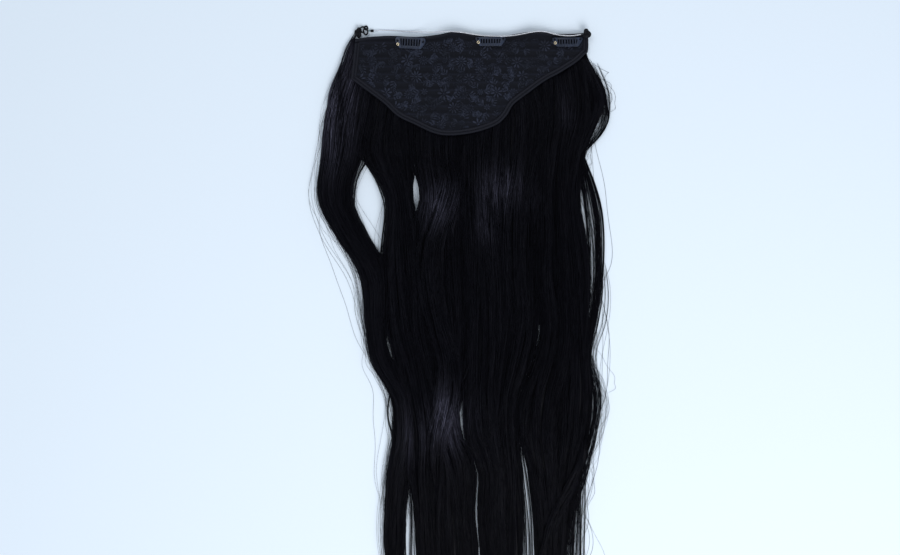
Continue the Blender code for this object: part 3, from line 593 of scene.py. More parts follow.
# Elastic loops behind the crimp: half length, half width and turn in degrees
ELASTIC_LOOPS = (
    ("elastic_ring", 0.00265, 0.00265, 0.0),
    ("elastic_loop", 0.0041, 0.0031, 100.0),
)
ELASTIC_DIAMETER = 0.0018
CORD_SIDES = 16

# Braid of the elastic: its pitch in radii, and how far its threads stand out
BRAID_PITCH = 4.2
BRAID_DEPTH = 0.10

# Cords from the left knot to the loops, by how far they run from the middles of both
JOINING_CORDS = (
    # loop, at the knot, at the loop
    ("elastic_ring", 0.0040, 0.0008),
    ("elastic_loop", -0.0010, -0.0012),
)
JOINING_RADIUS = 0.0008

# Knots at both ends of the band, with their turns in degrees
KNOTS = (("left_knot", 25.0), ("right_knot", 70.0))
KNOT_CORD = 0.0032

# Route of the halo wire: along is a share of the way between its ends, beyond a share of EDGE_SWAY past
# the band's line, up a share of WIRE_RISE
WIRE_ROUTE = (
    # along, beyond, up
    (0.000, 0.240, 0.133),
    (0.022, 0.290, 0.115),
    (0.052, 0.325, 0.080),
    (0.098, 0.290, 0.062),
    (0.144, 0.200, 0.088),
    (0.190, 0.125, 0.195),
    (0.236, 0.100, 0.407),
    (0.282, 0.060, 0.699),
    (0.328, 0.060, 0.912),
    (0.374, 0.100, 1.000),
    (0.420, 0.010, 0.965),
    (0.466, -0.160, 0.850),
    (0.517, -0.340, 0.752),
    (0.567, -0.425, 0.717),
    (0.618, -0.460, 0.717),
    (0.669, -0.375, 0.743),
    (0.715, -0.200, 0.832),
    (0.756, 0.000, 0.938),
    (0.791, 0.110, 0.991),
    (0.830, 0.075, 0.947),
    (0.864, -0.150, 0.858),
    (0.903, -0.340, 0.788),
    (0.940, -0.410, 0.779),
    (0.968, -0.390, 0.823),
    (0.986, -0.325, 0.885),
    (1.000, -0.290, 0.947),
)
WIRE_RISE = 0.0113
WIRE_FROM_CORNER = 0.0196
WIRE_TO_CORNER = 0.0085
WIRE_POINTS = 62

# How much nearer the hem the wire is laid than its solid, by its height over the floor
WIRE_LEAN = 0.24
WIRE_LEAN_FROM = 0.002
WIRE_LEAN_MOST = 0.0014

# Folded sections of the binding and the hem, as shares of their width and thickness
BINDING_PROFILE = (
    # in, up
    (0.00, 0.00),
    (0.00, 0.42),
    (0.03, 0.66),
    (0.10, 0.88),
    (0.22, 1.00),
    (0.34, 0.90),
    (0.44, 0.68),
    (0.50, 0.60),
    (0.56, 0.68),
    (0.66, 0.90),
    (0.78, 1.00),
    (0.90, 0.90),
    (0.97, 0.70),
    (1.00, 0.44),
    (1.00, 0.00),
)
HEM_PROFILE = (
    # in, up
    (0.00, 0.00),
    (0.00, 0.50),
    (0.08, 0.80),
    (0.22, 0.96),
    (0.42, 1.00),
    (0.64, 0.86),
    (0.78, 0.78),
    (0.92, 0.82),
    (1.00, 0.60),
    (1.00, 0.00),
)

# Ribbons: the steps along them, the pitch and depth of their puckers, and how far the lace lies under them
RIBBON_STEP = 0.0014
PUCKER_PITCH = 0.0032
BINDING_PUCKER = 0.07
HEM_PUCKER = 0.10
LACE_UNDER_BINDING = 0.0012
LACE_UNDER_HEM = 0.0008

# Seams of the ribbons: each a share of the ribbon's width and a share of its thickness
BINDING_SEAMS = ((0.50, 0.60), (0.93, 0.84))
HEM_SEAM = (0.72, 0.80)

# Stitches: radius, pitch and slant
BINDING_STITCH = (0.00016, 0.0026, 0.0)
HEM_STITCH = (0.00017, 0.0030, 0.5)

# Lace sheet, with the dips between the wefts below it
LACE_THICKNESS = 0.0004
LACE_DIP = 0.00055
FIRST_TRACK_Y = ORIGIN_BELOW_EDGE - EDGE_SWAY - HEM_WIDTH

# Flowers in staggered rows, with columns to both sides of the middle, and of three kinds by turns, each
# with its least and largest radius
FLOWER_ROWS = 7
FLOWER_COLUMNS = 7
FLOWER_STEP = 0.0190
FLOWER_ROW_STEP = 0.0165
FLOWER_RADII = ((0.0030, 0.0038), (0.0058, 0.0070), (0.0040, 0.0048))
SPRAY_LENGTHS = (0.0150, 0.0105, 0.0075)

# Embroidery: heights of petals and dots, thickness of outlines, hatching and stems
PETAL_HEIGHT = 0.00042
DOT_HEIGHT = 0.00050
OUTLINE_CORD = 0.00034
HATCH_CORD = 0.00030
STEM_CORD = 0.00042
EMBROIDERY_SIDES = 5
THREAD_SIDES = 6

# Colours of the clear sleeve
SLEEVE_DARK = (0.06, 0.14, 0.18)
SLEEVE_LIGHT = (0.22, 0.38, 0.44)

# Camera, floor and lamps
CAMERA_PLACE = (-0.02112, -0.20819, 1.3194)
LAMP_AIM = (0.0, -0.22, 0.0)
LAMPS = (
    # name, place, size, power
    ("key", (0.55, -1.30, 1.55), 1.1, 27.0),
    ("overhead", (-0.55, 0.55, 1.90), 0.9, 7.0),
)
LAMP_LIGHT = (0.98, 0.99, 1.0)
SKY_LIGHT = (0.86, 0.93, 1.0, 1.0)
SKY_STRENGTH = 0.52


def length_property(label, words, value):
    return bpy.props.FloatProperty(name=label, description=words, default=value, unit="LENGTH")


class HaloHairSizes(bpy.types.PropertyGroup):
    """Sizes of the halo hair extension."""

    base_width: length_property("Base width", "Width of the lace base", 0.249)
    panel_depth: length_property("Panel depth", "Depth of the lace panel", 0.110)
    hair_length: length_property("Hair length", "Length of the laid hair", 0.640)
    hair_rise: length_property("Hair rise", "Height of the thickest lock", 0.022)
    strand: length_property("Strand", "Thickness of a strand of hairs", 0.00060)
    loose_hair: length_property("Loose hair", "Thickness of a loose hair", 0.00030)
    wire: length_property("Wire", "Diameter of the halo wire", 0.0011)
    floor: length_property("Floor", "Side of the floor", 8.0)


def colour_property(label, words, value):
    return bpy.props.FloatVectorProperty(
        name=label, description=words, default=value, subtype="COLOR", size=3, min=0.0, max=1.0
    )


class HaloHairColours(bpy.types.PropertyGroup):
    """Colours of the halo hair extension."""

    hair: colour_property("Hair", "Hair in shade", (0.0031, 0.0032, 0.0056))
    # Paler end of the hair's colour: mostly painted sheen, and a little random tone by strand
    pale_hair_and_sheen: colour_property("Light hair", "Paler hairs", (0.1500, 0.1480, 0.2200))
    lace: colour_property("Lace", "Raised thread of the lace", (0.0245, 0.0295, 0.0500))
    net: colour_property("Net", "Fine net of the lace", (0.0050, 0.0060, 0.0114))
    ribbon: colour_property("Ribbon", "Binding and hem", (0.0090, 0.0100, 0.0170))
    thread: colour_property("Thread", "Sewing thread", (0.0080, 0.0085, 0.0130))
    paint: colour_property("Clip paint", "Paint on the comb clips", (0.0122, 0.0205, 0.0450))
    brass: colour_property("Brass", "Eyelets", (0.5800, 0.4900, 0.3400))
    nylon: colour_property("Nylon", "Clear wire", (0.9200, 0.9300, 0.9900))
    elastic: colour_property("Elastic", "Cord at the wire's ends", (0.0050, 0.0055, 0.0085))
    floor: colour_property("Floor", "Floor under the piece", (0.7500, 0.8300, 0.9200))


def sizes():
    return bpy.context.scene.halo_hair_sizes


def colours():
    return bpy.context.scene.halo_hair_colours


def smooth_rows(rows, steps):
    """Rows on a Catmull-Rom curve through the given rows, steps to each stretch."""
    given = np.array(rows, float)
    ends = np.vstack([2 * given[0] - given[1], given, 2 * given[-1] - given[-2]])
    found = []
    for before, start, end, after in zip(ends, ends[1:], ends[2:], ends[3:]):
        for step in range(steps):
            t = step / steps
            found.append(
                0.5
                * (
                    2 * start
                    + (end - before) * t
                    + (2 * before - 5 * start + 4 * end - after) * t**2
                    + (3 * start - before - 3 * end + after) * t**3
                )
            )
    found.append(given[-1])
    return np.array(found)


def run_lengths(path):
    """Distance from the path's start to each of its points."""
    return np.concatenate([[0.0], np.cumsum(np.linalg.norm(np.diff(path, axis=0), axis=1))])


def spaced(rows, lengths, count):
    """Count rows, evenly spaced by the lengths run at the given rows."""
    places = np.linspace(0.0, lengths[-1], count)
    return np.array([np.interp(places, lengths, column) for column in rows.T]).T


def even_rows(rows, count, weights):
    """Count rows along the smooth curve through rows, evenly spaced by their weighted distances."""
    fine = smooth_rows(rows, 8)
    return spaced(fine, run_lengths(fine * np.array(weights)), count)


def eased(share):
    """A share that starts and ends gently."""
    return share * share * (3.0 - 2.0 * share)


def softened(rows, times):
    """Rows averaged with their neighbours, between ends that stay."""
    for _ in range(times):
        rows[1:-1] = (rows[:-2] + 2.0 * rows[1:-1] + rows[2:]) / 4.0
    return rows


def wave(turns, share, phase):
    """A sine wave over a share, from a phase."""
    return np.sin(math.tau * turns * share + phase)


def placed(x, y, angle, along, across=0.0):
    """The place in plan along and across a direction from x and y."""
    cos, sin = math.cos(angle), math.sin(angle)
    return x + along * cos - across * sin, y + along * sin + across * cos


class Base:
    """The base in plan, and the heights of what lies on it."""

    def __init__(self):
        self.width = sizes().base_width
        self.depth = sizes().panel_depth
        band = smooth_rows(BAND_EDGE, 6)
        self.band_x = band[:, 0] * self.width
        self.band_y = ORIGIN_BELOW_EDGE - band[:, 1] * EDGE_SWAY
        far = smooth_rows(PANEL_EDGE, 3)
        self.far = np.column_stack([far[:, 0] * self.width, ORIGIN_BELOW_EDGE - far[:, 1] * self.depth])
        band_line = np.column_stack([self.band_x, self.band_y])
        self.closed = np.vstack([self.rim(0.0, 4), band_line[-2:0:-1]])

    def band(self, x):
        return np.interp(x, self.band_x, self.band_y)

    def rim(self, below, side_steps):
        """The path round the panel from corner to corner, which starts and ends below the band's edge."""
        ends = []
        for x, far_end, inward in ((self.band_x[0], self.far[0], 1), (self.band_x[-1], self.far[-1], -1)):
            corner = np.array([x, self.band(x)])
            side = far_end - corner
            side /= np.linalg.norm(side)
            dip = max(corner[1] - self.band(x + inward * BINDING_WIDTH), 0.0)
            lean = BINDING_WIDTH * abs(side[0])
            ends.append(corner + side * (below + dip + lean if below else 0.0))
        left_top, right_top = ends
        down = [left_top + (self.far[0] - left_top) * k / side_steps for k in range(side_steps)]
        return np.array(down + list(self.far) + [right_top])

    def beyond(self, x, y):
        """Distance of places from the base's outline, negative inside it."""
        places = np.column_stack([np.ravel(x), np.ravel(y)])
        found = np.empty(len(places))
        ring = self.closed
        ends = np.roll(ring, -1, axis=0)
        ahead = ends - ring
        reach = (ahead * ahead).sum(1)
        rise = np.where(ahead[:, 1] == 0.0, 1.0, ahead[:, 1])
        for start in range(0, len(places), 4000):
            part = places[start : start + 4000]
            away = part[:, None, :] - ring[None]
            share = np.clip((away * ahead[None]).sum(2) / reach, 0.0, 1.0)
            near = np.linalg.norm(away - ahead[None] * share[..., None], axis=2).min(1)
            spans = (ring[None, :, 1] > part[:, 1:2]) != (ends[None, :, 1] > part[:, 1:2])
            crossing = ring[:, 0] + ahead[:, 0] / rise * (part[:, 1:2] - ring[:, 1])
            inside = (spans & (part[:, :1] < crossing)).sum(1) % 2 == 1
            found[start : start + 4000] = np.where(inside, -near, near)
        return found.reshape(np.shape(x))

    def lift(self, x, y):
        """How far the band stands off what it lies on."""
        fade = 1.0 - eased(np.clip((ORIGIN_BELOW_EDGE - y) / LIFT_REACH, 0.0, 1.0))
        total = 0.0
        for crest in LIFTED_AT:
            away = np.clip(np.abs(x - crest * self.width) / LIFT_HALF_WIDTH, 0.0, 1.0)
            total = total + 0.5 * (1.0 + np.cos(math.pi * away))
        return LIFT * total * fade

    def backing_top(self, x, y):
        down = np.maximum((ORIGIN_BELOW_EDGE - y) / self.depth, 0.0)
        return BACKING_AT_EDGE + (BACKING_AT_POINT - BACKING_AT_EDGE) * down + self.lift(x, y)

    def hair_limit(self, x, y):
        """Height that keeps hair below the panel, and lets it rise on its way out."""
        return self.backing_top(x, y) - GAP + HAIR_SLOPE * self.beyond(x, y)

    def settled(self, x, y, z, radii):
        """Strand lines kept between the floor and the room below the panel."""
        limit = self.hair_limit(x, y) - radii - STRAND_CLEARANCE
        z = np.maximum(np.minimum(z, limit), radii + STRAND_CLEARANCE)
        return np.stack([x, y, z], axis=-1)

    def inset(self, path, distance):
        """The path moved into the panel, with mitred corners."""
        ahead = np.diff(path, axis=0)
        ahead /= np.linalg.norm(ahead, axis=1)[:, None]
        before = np.vstack([ahead[:1], ahead])
        after = np.vstack([ahead, ahead[-1:]])
        normals = np.column_stack([-(before + after)[:, 1], (before + after)[:, 0]])
        normals /= np.linalg.norm(normals, axis=1)[:, None]
        turn = np.clip((before * after).sum(1), -1.0, 1.0)
        return path + normals * (distance / np.sqrt((1.0 + turn) / 2.0))[:, None]

    def panel_places(self, across, down, inset, band_inset):
        """Places in the panel for shares across and down, inset from its rim and from the band."""
        path = self.inset(self.rim(0.0, 4), inset)
        edge = path[4:-1]
        x_band = path[0][0] + (path[-1][0] - path[0][0]) * across
        x_far = edge[0][0] + (edge[-1][0] - edge[0][0]) * across
        y_band = self.band(x_band) - band_inset
        y_far = np.interp(x_far, edge[:, 0], edge[:, 1])
        return x_band + (x_far - x_band) * down, y_band + (y_far - y_band) * down


def deselect():
    for item in bpy.context.selected_objects:
        item.select_set(False)


def pick(item):
    """Selects one object alone and makes it active."""
    deselect()
    item.select_set(True)
    bpy.context.view_layer.objects.active = item


def add_object(name, data):
    item = bpy.data.objects.new(name, data)
    bpy.context.scene.collection.objects.link(item)
    return item


def add_mesh(name, points, faces):
    mesh = bpy.data.meshes.new(name)
    mesh.from_pydata(np.asarray(points, float).tolist(), [], faces)
    mesh.validate()
    mesh.shade_smooth()
    return add_object(name, mesh)


def face_outwards(item):
    """Turns all faces of a closed mesh outwards."""
    pick(item)
    bpy.ops.object.mode_set(mode="EDIT")
    bpy.ops.mesh.select_all(action="SELECT")
    bpy.ops.mesh.normals_make_consistent(inside=False)
    bpy.ops.object.mode_set(mode="OBJECT")


def set_values(item, name, values):
    """Stores one number per point as a named attribute."""
    layer = item.data.attributes.new(name, "FLOAT", "POINT")
    layer.data.foreach_set("value", np.asarray(values, np.float32).ravel())


def set_places(item, along, across):
    """Gives the mesh a UV map from one pair of numbers per point, in metres."""
    layer = item.data.uv_layers.new(name="cloth")
    corners = np.empty(len(item.data.loops), np.int64)
    item.data.loops.foreach_get("vertex_index", corners)
    pairs = np.column_stack([np.ravel(along)[corners], np.ravel(across)[corners]])
    layer.data.foreach_set("uv", pairs.astype(np.float32).ravel())


def paint(item, material, slot=None, body="root"):
    """Gives a piece its material and lets it ride on its body."""
    item.data.materials.clear()
    item.data.materials.append(material)
    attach(item, body)
    return item


def add_node(tree, kind, inputs=None, **settings):
    """Adds a shader node, sets it up, and links or fills the inputs that are named."""
    made = tree.nodes.new("ShaderNode" + kind)
    for key, value in settings.items():
        setattr(made, key, value)
    for key, value in (inputs or {}).items():
        if isinstance(value, bpy.types.NodeSocket):
            tree.links.new(value, made.inputs[key])
        else:
            made.inputs[key].default_value = value
    return made


def noise(tree, places, scale, detail=2.0, roughness=0.5):
    """Uneven tone, from 0 to 1."""
    inputs = {"Vector": places, "Scale": scale, "Detail": detail, "Roughness": roughness}
    return add_node(tree, "TexNoise", inputs).outputs["Fac"]


def spread(tree, value, low, high, start=0.0, end=1.0):
    """A value between low and high, spread from start to end."""
    inputs = {"Value": value, "From Min": low, "From Max": high, "To Min": start, "To Max": end}
    return add_node(tree, "MapRange", inputs).outputs["Result"]


def worked(tree, operation, *values):
    """The result of one sum on sockets and numbers."""
    return add_node(tree, "Math", dict(enumerate(values)), operation=operation).outputs[0]


def new_material(name, roughness, specular=0.5, metallic=0.0, shown=(0.1, 0.1, 0.1)):
    """An empty material with its shader, whose plain values are set on the shader itself."""
    material = bpy.data.materials.new(name)
    material.use_nodes = True
    material.diffuse_color = (*shown, 1.0)
    shader = material.node_tree.nodes["Principled BSDF"]
    shader.inputs["Roughness"].default_value = roughness
    shader.inputs["Specular IOR Level"].default_value = specular
    shader.inputs["Metallic"].default_value = metallic
    return material, material.node_tree, shader


def scaled(colour, share):
    return tuple(part * share for part in colour)


def tint(tree, shader, factor, dark, light):
    """Colours a shader between two colours, by a factor socket."""
    both = {"Factor": factor, 6: (*dark, 1.0), 7: (*light, 1.0)}
    made = add_node(tree, "Mix", both, data_type="RGBA")
    tree.links.new(made.outputs[2], shader.inputs["Base Color"])


def roughen(tree, shader, value, start, end):
    """Lets the roughness follow a pattern's middle tones."""
    tree.links.new(spread(tree, value, 0.3, 0.7, start, end), shader.inputs["Roughness"])


def bump(tree, shader, height, distance, strength):
    made = add_node(tree, "Bump", {"Height": height, "Distance": distance, "Strength": strength})
    tree.links.new(made.outputs["Normal"], shader.inputs["Normal"])


def object_places(tree, scale=(1.0, 1.0, 1.0)):
    """Object coordinates, scaled."""
    source = tree.nodes.new("ShaderNodeTexCoord").outputs["Object"]
    return add_node(tree, "Mapping", {"Vector": source, "Scale": scale}).outputs["Vector"]


def new_group(name, numbers):
    """A node group that takes places and named numbers, and gives a tone and a height."""
    group = bpy.data.node_groups.new(name, "ShaderNodeTree")
    group.interface.new_socket("Vector", in_out="INPUT", socket_type="NodeSocketVector")
    for label, value in numbers.items():
        socket = group.interface.new_socket(label, in_out="INPUT", socket_type="NodeSocketFloat")
        socket.default_value = value
    for label in ("Tone", "Height"):
        group.interface.new_socket(label, in_out="OUTPUT", socket_type="NodeSocketFloat")
    return group, group.nodes.new("NodeGroupInput").outputs, group.nodes.new("NodeGroupOutput").inputs


def streak_group():
    """Fine streaks and slow patches along hair or cloth."""
    found = bpy.data.node_groups.get("Fibre Streaks")
    if found:
        return found
    group, given, made = new_group("Fibre Streaks", {"Density": 900.0})
    fine = noise(group, given["Vector"], given["Density"], 3.0, 0.6)
    slow = noise(group, given["Vector"], 60.0)
    group.links.new(spread(group, worked(group, "MULTIPLY", fine, slow), 0.16, 0.36), made["Tone"])
    group.links.new(fine, made["Height"])
    return group


def streaks(tree, scale, density):
    """Tone and height of streaks along the piece."""
    inputs = {"Vector": object_places(tree, scale), "Density": density}
    return add_node(tree, "Group", inputs, node_tree=streak_group()).outputs


def hair_material():
    """Near-black hair: tone by strand, paler in the patches of painted sheen, with fine streaks along it."""
    found = bpy.data.materials.get("near_black_hair")
    if found:
        return found
    material, tree, shader = new_material("near_black_hair", 0.36, 0.06, shown=(0.01, 0.01, 0.015))
    tone = add_node(tree, "Attribute", attribute_name="tone").outputs["Fac"]
    fibres = streaks(tree, (1.0, 0.06, 1.0), 1400.0)
    level = worked(tree, "MULTIPLY", tone, fibres["Tone"])
    tint(tree, shader, level, colours().hair, colours().pale_hair_and_sheen)
    roughen(tree, shader, fibres["Height"], 0.30, 0.44)
    bump(tree, shader, fibres["Height"], 0.0002, 0.5)
    return material


def tube_parts(lines, radii, sides):
    """Points and faces of closed tubes along lines, all with equally many points."""
    count, stations = lines.shape[:2]
    ahead = np.gradient(lines, axis=1)
    ahead /= np.linalg.norm(ahead, axis=2, keepdims=True)
    side = np.cross(ahead, np.array([0.0, 0.0, 1.0]))
    side /= np.maximum(np.linalg.norm(side, axis=2, keepdims=True), 1e-9)
    up = np.cross(side, ahead)
    angles = math.pi / 2 + math.tau * np.arange(sides) / sides
    ring = (
        np.cos(angles)[None, None, :, None] * side[:, :, None, :]
        + np.sin(angles)[None, None, :, None] * up[:, :, None, :]
    )
    points = (lines[:, :, None, :] + radii[:, :, None, None] * ring).reshape(-1, 3)
    first = (np.arange(count) * stations * sides)[:, None, None]
    low = first + (np.arange(stations - 1) * sides)[None, :, None] + np.arange(sides)[None, None, :]
    high = low + sides
    turn = np.roll(np.arange(sides), -1) - np.arange(sides)
    quads = np.stack([low, high, high + turn, low + turn], axis=-1).reshape(-1, 4)
    start_caps = (first[:, :, 0] + np.arange(sides)[None, :]).tolist()
    last = first[:, :, 0] + (stations - 1) * sides
    end_caps = (last + np.arange(sides)[None, ::-1]).tolist()
    return points, quads.tolist() + start_caps + end_caps


class Lock:
    """One lock of hair: its line in plan, its half width and its height, at even stations."""

    def __init__(self, rows, stations, number):
        length, width = sizes().hair_length, sizes().base_width
        down, across, half, rise = even_rows(rows, stations, (length, width, 0.0, 0.0)).T
        self.floor = LOCK_FLOORS[number % len(LOCK_FLOORS)]
        self.x = across * width
        self.y = ORIGIN_BELOW_EDGE - down * length
        self.half = half * width
        self.rise = np.maximum(rise * sizes().hair_rise - self.floor, 0.0)

    def at(self, y, values):
        """Values of the lock at places down the hair."""
        return np.interp(-y, -self.y, values)

    def dome(self, side):
        return np.power(np.clip(1.0 - np.abs(side) ** 3.0, 0.0, 1.0), 0.6)


def make_bundles(lock, rng, bundles):
    """Smaller bundles in a lock: where each runs, how wide and thick it is, and where it ends."""
    share = np.linspace(0.0, 1.0, len(lock.x))
    found = []
    for number in range(bundles):
        middle = -BUNDLE_REACH + 2 * BUNDLE_REACH * (number + 0.5) / bundles + rng.uniform(-0.06, 0.06)
        sway = rng.uniform(*BUNDLE_SWAY)
        turns = rng.uniform(*BUNDLE_TURNS)
        phase = rng.uniform(0.0, math.tau)
        side = np.clip(middle + sway * wave(turns, share, phase), -0.95, 0.95)
        layer = rng.uniform(*BUNDLE_LAYER) + 0.08 * wave(1.3, share, 2.0 * phase)
        half = lock.half * (2 * BUNDLE_REACH) / bundles * rng.uniform(*BUNDLE_WIDTH)
        half = np.minimum(half, lock.half * (1.02 - np.abs(side)) + 0.0006)
        finish = FIRST_WISP_END + (1.0 - FIRST_WISP_END) * phase / math.tau
        half = half * np.sqrt(np.clip((finish + 0.02 - share) / 0.14, 0.02, 1.0))
        thick = np.minimum(half * 0.75, 0.0030) + 0.0003
        found.append((side, layer, half, thick, finish))
    return found


def bundle_strands(lock, bundle, rng, count, radius, base):
    """Strand lines of one bundle, with their thickness at each station."""
    side, layer, half, thick, finish = bundle
    share = np.linspace(0.0, 1.0, len(lock.x))
    reach = np.sqrt(rng.uniform(0.10, 1.0, count))
    angle = rng.uniform(-0.35, math.pi + 0.35, count)
    twist = rng.uniform(-1.1, 1.1, count)
    frizz = rng.uniform(0.0, math.tau, (count, 2))
    waves = rng.uniform(*STRAND_WAVES, (count, 2))
    turned = angle[:, None] + twist[:, None] * (share[None] - 0.5)
    loose = FRIZZ_LEAST + FRIZZ_MORE * rng.uniform(0.0, 1.0, count) ** 3
    wander_x = loose[:, None] * wave(waves[:, :1], share, frizz[:, :1])
    wander_z = 0.6 * loose[:, None] * wave(waves[:, 1:], share, frizz[:, 1:])
    x = lock.x + side * lock.half + half * reach[:, None] * np.cos(turned) + wander_x
    top = lock.floor + lock.rise * lock.dome(side) * np.clip(1.0 + layer, 0.0, 1.08)
    z = top - thick * 0.9 + thick * reach[:, None] * np.sin(turned) + wander_z
    early = rng.uniform(0.0, 1.0, count)
    ends = finish - EARLY_END * early
    fade = np.clip((ends[:, None] - share[None]) / STRAND_FADE, 0.0, 1.0)
    radii = radius * rng.uniform(*STRAND_WIDTHS, count)[:, None] * (0.18 + 0.82 * np.sqrt(fade))
    uneven = TIP_UNEVENNESS * (lock.y[0] - lock.y[-1])
    parting = np.clip((share - TIPS_PART) / (1.0 - TIPS_PART), 0.0, 1.0) ** 2
    y = lock.y + uneven * early[:, None] * parting
    return base.settled(x, y, z, radii), radii


def ring_faces(count, sides, closed):
    """Faces along a row of rings, which meet again or have a cap at both ends."""
    faces = []
    for row in range(count if closed else count - 1):
        low, high = row * sides, (row + 1) % count * sides
        for side in range(sides):
            after = (side + 1) % sides
            faces.append([low + side, high + side, high + after, low + after])
    if not closed:
        faces.append(list(range(sides)))
        faces.append(list(range((count - 1) * sides, count * sides))[::-1])
    return faces


def grid_rim(columns, rows):
    """The points round a grid, in order."""
    rim = [column * rows for column in range(columns)]
    rim += [(columns - 1) * rows + row for row in range(1, rows)]
    rim += [column * rows + rows - 1 for column in range(columns - 2, -1, -1)]
    return rim + list(range(rows - 2, 0, -1))


def sheet_parts(x, y, low, high, turn=0):
    """Points and faces of a closed sheet over a grid of places, each face turned by some corners."""
    rows = x.shape[1]
    under = x.size
    points = np.vstack([np.stack([x, y, height], axis=-1).reshape(-1, 3) for height in (high, low)])
    a = np.arange(under).reshape(x.shape)[:-1, :-1].ravel()
    quads = np.column_stack([a, a + rows, a + rows + 1, a + 1])
    rim = np.array(grid_rim(*x.shape))
    after = np.roll(rim, -1)
    sides = np.column_stack([rim, under + rim, under + after, after])
    faces = np.vstack([quads, quads[:, ::-1] + under, sides])
    return points, np.roll(faces, turn, axis=1).tolist()


def core_mesh(lock, bundles, base, rng):
    """Points and faces of the dense hair inside a lock, grooved between its bundles."""
    stations = len(lock.x)
    sides = np.linspace(-0.96, 0.96, CORE_COLUMNS)
    x = lock.x[:, None] + sides[None] * lock.half[:, None]
    y = np.broadcast_to(lock.y[:, None], x.shape)
    top = lock.floor + lock.rise[:, None] * lock.dome(sides)[None] * 0.52
    for side, layer, half, thick, _finish in bundles:
        middle = lock.x + side * lock.half
        away = (x - middle[:, None]) / half[:, None]
        crown = lock.floor + lock.rise * lock.dome(side) * np.clip(1.0 + layer, 0.0, 1.08)
        mound = crown[:, None] - CORE_DEPTH - thick[:, None] * (0.9 + 0.9 * away**2)
        top = np.where(np.abs(away) < 1.1, np.maximum(top, mound), top)
    knots = np.linspace(0.0, stations - 1, 9)
    depth = rng.uniform(0.0, CORE_GROOVE, (9, CORE_COLUMNS))
    top = top - np.array([np.interp(np.arange(stations), knots, column) for column in depth.T]).T
    top = np.minimum(top, base.hair_limit(x, y) - 3 * STRAND_CLEARANCE)
    low = np.full(x.shape, lock.floor + 0.0001)
    return sheet_parts(x, y, low, np.maximum(top, low + 0.0002))


def painted_sheen(x, y):
    """How strong the painted sheen on the hair is at each place, from 0 to 1."""
    across = x / sizes().base_width
    down = (ORIGIN_BELOW_EDGE - y) / sizes().hair_length
    found = np.zeros(np.shape(x))
    for middle, low, half_across, half_down, strength in PAINTED_SHEEN_PATCHES:
        away = ((across - middle) / half_across) ** 2 + ((down - low) / half_down) ** 2
        found = np.maximum(found, strength * np.exp(-away))
    return found


class Gathered:
    """Points, faces and values at the points, gathered for one mesh."""

    def __init__(self):
        self.points, self.faces, self.values, self.total = [], [], [], 0

    def add(self, points, faces, values):
        self.points.append(points)
        self.faces += [[corner + self.total for corner in face] for face in faces]
        self.values.append(values)
        self.total += len(points)

    def mesh(self, name):
        return add_mesh(name, np.vstack(self.points), self.faces)


class Strands(Gathered):
    """Strands and cores in one mesh, with a tone at each point."""

    def lay(self, base, x, y, z, radii, rng):
        """Adds strands, kept between the floor and the room below the panel."""
        lines = base.settled(x, np.broadcast_to(y, x.shape), z, radii)
        self.add_lines(lines, radii, strand_tones(rng, len(lines)))

    def add_lines(self, lines, radii, tone):
        points, faces = tube_parts(lines, radii, 3)
        # Strands are paler in the patches of painted sheen
        tones = tone[:, None] * (0.026 + 0.974 * painted_sheen(lines[..., 0], lines[..., 1]))
        self.add(points, faces, np.repeat(tones.ravel(), 3))

    def finish(self, name):
        item = self.mesh(name)
        set_values(item, "tone", np.concatenate(self.values))
        paint(item, hair_material(), "hair")
        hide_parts("hair")


def strand_tones(rng, count):
    return rng.uniform(0.0, 1.0, count) ** 1.5


def add_cover(made, lock, rng, count, base):
    """Adds strands spread evenly over a lock's upper part."""
    share = np.linspace(0.0, 1.0, len(lock.x))
    phase = rng.uniform(0.0, math.tau, (count, 2))
    waves = rng.uniform(1.0, 3.0, (count, 1))
    side = rng.uniform(-0.95, 0.95, (count, 1)) + 0.05 * wave(waves, share, phase[:, :1])
    side = np.clip(side, -0.98, 0.98)
    z = lock.floor + lock.rise * lock.dome(side) * rng.uniform(0.90, 1.0, (count, 1))
    z = z + 0.0003 * wave(2.0 * waves, share, phase[:, 1:])
    ends = rng.uniform(*COVER_ENDS, (count, 1))
    radii = sizes().strand / 2 * rng.uniform(*FINE_WIDTHS, (count, 1))
    radii = radii * np.clip((ends - share) / STRAND_FADE, 0.05, 1.0)
    made.lay(base, lock.x + side * lock.half, lock.y, z, radii, rng)


def station_count(rows, step):
    """How many stations hair along rows has."""
    return max(FEWEST_STATIONS, round((rows[-1][0] - rows[0][0]) * sizes().hair_length / step))


def make_lock(name, base):
    """A lock: a dense core and its strands, in one mesh."""
    bundles, strands, has_core = LOCK_FILL[name]
    number = list(LOCKS).index(name)
    rng = np.random.default_rng(40 + number)
    stations = station_count(LOCKS[name], STATION)
    lock = Lock(LOCKS[name], stations, number)
    plan = make_bundles(lock, rng, bundles)
    made = Strands()
    is_open = name in OPEN_STARTS
    if has_core:
        share = np.linspace(0.0, 1.0, stations)
        left = (CORE_END - share) / CORE_FADE
        if is_open:
            left = np.minimum(share / CORE_START, left)
        ramp = np.sqrt(np.clip(left, 0.0004, 1.0))
        inner = copy.copy(lock)
        inner.half, inner.rise = lock.half * ramp, lock.rise * ramp
        points, faces = core_mesh(inner, plan, base, rng)
        made.add(points, faces, np.zeros(len(points)))
    if not is_open:
        add_cover(made, lock, rng, round(COVER_STRANDS * lock.half.max() / COVER_HALF_WIDTH), base)
    radius = sizes().strand / 2 * (1.0 if has_core else FINE_STRAND)
    for bundle in plan:
        lines, radii = bundle_strands(lock, bundle, rng, strands, radius, base)
        if is_open:
            radii = radii * eased_start(rng, len(lines), stations, 0.16)
        made.add_lines(lines, radii, strand_tones(rng, len(lines)))
    made.finish(f"lock_{name}")


